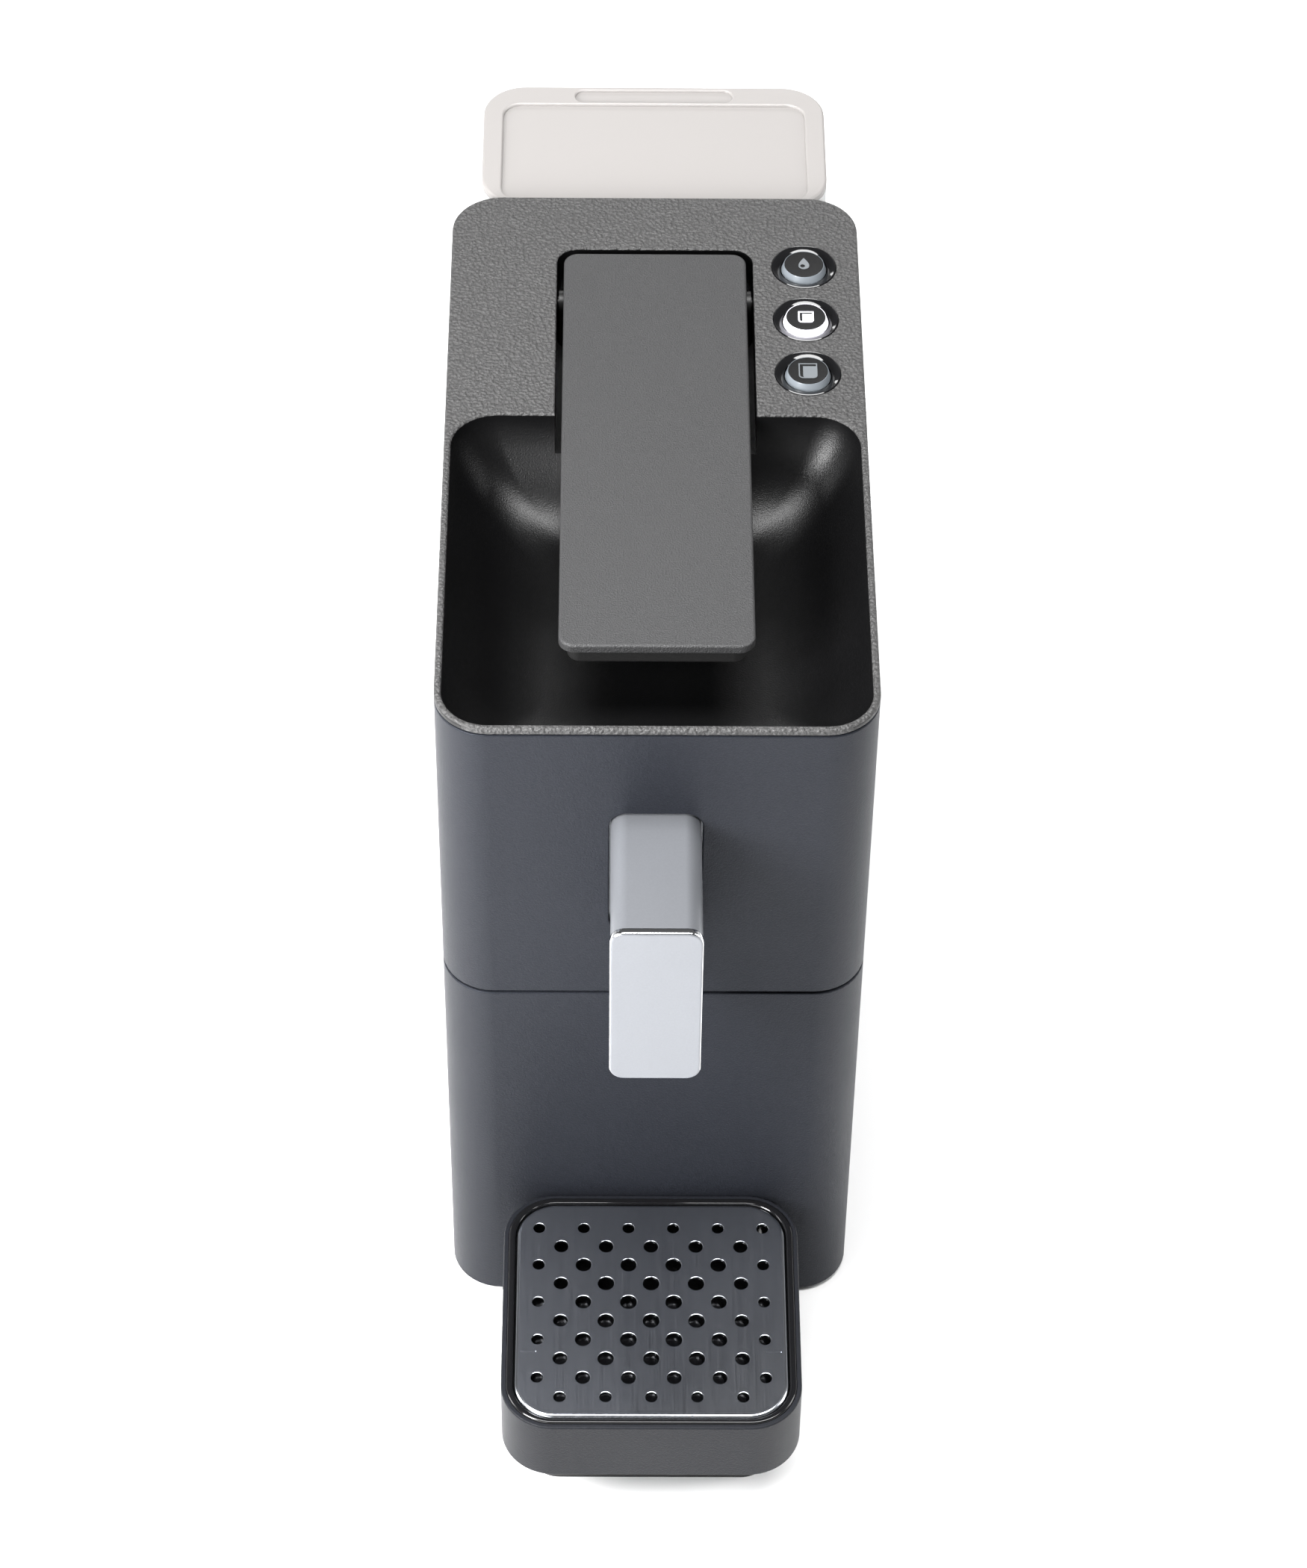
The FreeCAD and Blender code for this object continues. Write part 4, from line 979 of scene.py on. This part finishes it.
combine(tank, rod("drain", (0, DRAIN_Y, floor_z - 0.001), (0, DRAIN_Y, floor_z + 0.004), DRAIN_R))
pin_low, pin_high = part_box("lid_hinge_pins")
pin_y = (pin_low.y + pin_high.y) / 2.0
pin_z = (pin_low.z + pin_high.z) / 2.0
ear_ends = [(-EAR_OUT, -EAR_IN), (EAR_IN, EAR_OUT)]
for near, far in ear_ends:
    ear = rod("ear", (near, pin_y, pin_z), (far, pin_y, pin_z), EAR_R)
    post = block(
        "post", (near, tank_low.y + 0.0001, tank_top - 0.001), (far, tank_low.y + 0.0019, pin_z)
    )
    combine(tank, post, "UNION")
    combine(tank, ear, "UNION")
    combine(tank, rod("bore", (near - 0.001, pin_y, pin_z), (far + 0.001, pin_y, pin_z), PIN_BORE))
soften(tank, 0.0003, 2)
dress(tank, tank_plastic, "frosted_clear", "tank", "water_tank")

lid = block(
    "lid_plate", (tank_low.x, tank_low.y, tank_top + LID_GAP), lid_high, TANK_CORNER, steps=12
)
top = lid_high.z
round_edges(lid, lambda middle, way: middle.z > top - HAIR and abs(way.z) < 0.1, LID_EDGE, 4)
skirt = tube(
    "lid_skirt", (tank_low.x + SKIRT_IN, tank_low.y + SKIRT_IN, tank_top - 0.0047),
    (tank_high.x - SKIRT_IN, tank_high.y - SKIRT_IN, tank_top + 0.0008), SKIRT_CORNER,
)
keep_side(skirt, (0, tank_low.y + 0.006, 0), (0, 1, 0))
thicken(skirt, SKIRT_WALL)
combine(lid, skirt, "UNION")
panel = opening(
    "panel", (-PANEL_HALF, tank_low.y + 0.0026, top - PANEL_DEPTH),
    (PANEL_HALF, tank_high.y - 0.0093, top), 0.006, 0.0007,
)
combine(lid, panel)
finger = opening(
    "finger", (-FINGER_HALF, tank_high.y - 0.0080, top - FINGER_DEPTH),
    (FINGER_HALF, tank_high.y - 0.0020, top), 0.0028, 0.0006,
)
combine(lid, finger)
for near, far in ear_ends:
    gap_low = (near - 0.0004, tank_low.y - 0.01, 0.255)
    combine(lid, block("ear_gap", gap_low, (far + 0.0004, pin_y + 0.0019, 0.27)))
    combine(lid, rod("bore", (near - 0.0032, pin_y, pin_z), (far + 0.0032, pin_y, pin_z), PIN_BORE))
front_high = (0.06, tank_low.y + 0.0012, top - 0.0013)
combine(lid, block("front_cut", (-0.06, tank_low.y - 0.01, 0.25), front_high))
soften(lid)
dress(lid, lid_plastic, "frosted_clear", "lid", "tank_lid")


# --- Working parts -------------------------------------------------------------------
# What the casing hides keeps its engineering shape, each part in its own finish: base, feet,
# drawer bin, pump, heater, pod chamber, boards, hoses, pins and screws.  The lever's pins and
# the side plates that show in its groove are steel painted near black: painted shade of the groove.

finishes = {
    "casing_plastic": casing_plastic,
    "inner_black": grained("inner_black", (0.012, 0.012, 0.012), 0.50, 0.0006, 0.00003),
    "rubber": grained("rubber", (0.010, 0.010, 0.010), 0.75, 0.0003, 0.00003),
    "inner_nylon": grained("inner_nylon", (0.19, 0.19, 0.20), 0.45, 0.0008, 0.00002),
    "cast_alloy": silvery("cast_alloy", (0.48, 0.48, 0.49), 0.48, 1.0),
    "copper_coil": grained("copper_coil", (0.16, 0.055, 0.025), 0.35, 0.0009, 0.00010),
    "board_green": smooth_plastic("board_green", (0.012, 0.100, 0.042), 0.30),
    "hose_silicone": smooth_plastic("hose_silicone", (0.70, 0.70, 0.69), 0.35, 0.30),
    "steel": brushed_steel("steel", (0.55, 0.55, 0.56), 0.28, 0),
    "frosted_clear": tank_plastic,
}
# Near-black painted shade for the steel parts seen down the lever's groove.
groove_shade_finish = grained("groove_painted_shade", (0.006, 0.006, 0.006), 0.45, 0.0006, 0.00001)
groove_shaded_parts = ("hinge_pin", "crank_pin", "brew_cheek_left", "brew_cheek_right")
for part in frame["record"]["subparts"]:
    node = frame["nodes"][part["node"]]
    if not node.hide_render:
        finish = finishes[part["material_slot"]]
        if part["node"] in groove_shaded_parts:
            finish = groove_shade_finish
        node.data.materials.clear()
        node.data.materials.append(finish)


# --- Studio --------------------------------------------------------------------------
# A plain pale floor under a sky that is white at the horizon and dim above.  Six soft boxes
# light it: one overhead, one behind, one on each side, one in front and a small one near.

SKY_TOP = 0.42
SKY_DIM = 0.12
LENS = 103.92
CAMERA_PLACE = (-0.0133, -1.0043, 1.2121)
CAMERA_TURN = -0.786
CAMERA_DIP = 47.03
CAMERA_ROLL = 0.808

bpy.ops.object.select_all(action="DESELECT")
bpy.ops.mesh.primitive_plane_add(size=16.0, location=(0, 0, 0))
floor = bpy.context.object
floor.name = "floor"
floor_paint = bpy.data.materials.new("floor_paint")
floor_paint.use_nodes = True
floor_shader = floor_paint.node_tree.nodes["Principled BSDF"]
floor_shader.inputs["Base Color"].default_value = (0.80, 0.80, 0.80, 1.0)
floor_shader.inputs["Roughness"].default_value = 0.9
floor.data.materials.append(floor_paint)

world = bpy.data.worlds.new("studio")
bpy.context.scene.world = world
world.use_nodes = True
sky = world.node_tree.nodes["Background"]
sky.inputs["Color"].default_value = (1.0, 1.0, 1.0, 1.0)
sky_nodes = world.node_tree.nodes
sky_links = world.node_tree.links
view_way = sky_nodes.new("ShaderNodeTexCoord")
way_parts = sky_nodes.new("ShaderNodeSeparateXYZ")
sky_fade = sky_nodes.new("ShaderNodeMapRange")
sky_fade.interpolation_type = "SMOOTHSTEP"
sky_fade.inputs["From Min"].default_value = 0.0
sky_fade.inputs["From Max"].default_value = SKY_TOP
sky_fade.inputs["To Min"].default_value = 1.0
sky_fade.inputs["To Max"].default_value = SKY_DIM
sky_links.new(view_way.outputs["Generated"], way_parts.inputs["Vector"])
sky_links.new(way_parts.outputs["Z"], sky_fade.inputs["Value"])
sky_links.new(sky_fade.outputs["Result"], sky.inputs["Strength"])


def soft_light(name, place, aim, size, power):
    """A soft box that shines from a place towards an aim."""
    lamp = bpy.data.lights.new(name, "AREA")
    lamp.shape = "RECTANGLE"
    lamp.size = size[0]
    lamp.size_y = size[1]
    lamp.energy = power
    box = bpy.data.objects.new(name, lamp)
    box.location = place
    direction = Vector(aim) - Vector(place)
    box.rotation_euler = direction.to_track_quat("-Z", "Y").to_euler()
    box.visible_camera = False
    bpy.context.scene.collection.objects.link(box)


soft_light("light_over", (0.0, -0.1, 2.2), (0, 0, 0.1), (1.9, 0.7), 84.0)
soft_light("light_behind", (-0.1, 1.9, 1.05), (0, 0, 0.2), (1.0, 0.3), 9.0)
soft_light("light_left", (-2.0, 0.2, 1.2), (0, 0, 0.1), (0.8, 1.4), 34.0)
soft_light("light_right", (2.0, 0.2, 1.2), (0, 0, 0.1), (0.8, 1.4), 28.0)
soft_light("light_front", (-1.0, -2.0, 0.9), (0, 0, 0.1), (1.2, 0.8), 20.0)
soft_light("light_near", (-0.37, -0.40, 0.49), (-0.03, -0.10, 0.18), (0.20, 0.30), 10.5)

camera = bpy.data.cameras.new("camera")
camera.lens = LENS
camera.sensor_width = 36.0
viewer = bpy.data.objects.new("camera", camera)
turn = Matrix.Rotation(math.radians(CAMERA_TURN), 4, "Z")
tilt = Matrix.Rotation(math.radians(90.0 - CAMERA_DIP), 4, "X")
roll = Matrix.Rotation(math.radians(CAMERA_ROLL), 4, "Z")
viewer.matrix_world = Matrix.Translation(CAMERA_PLACE) @ turn @ tilt @ roll
bpy.context.scene.collection.objects.link(viewer)
bpy.context.scene.camera = viewer
bpy.context.scene.view_settings.view_transform = "Standard"
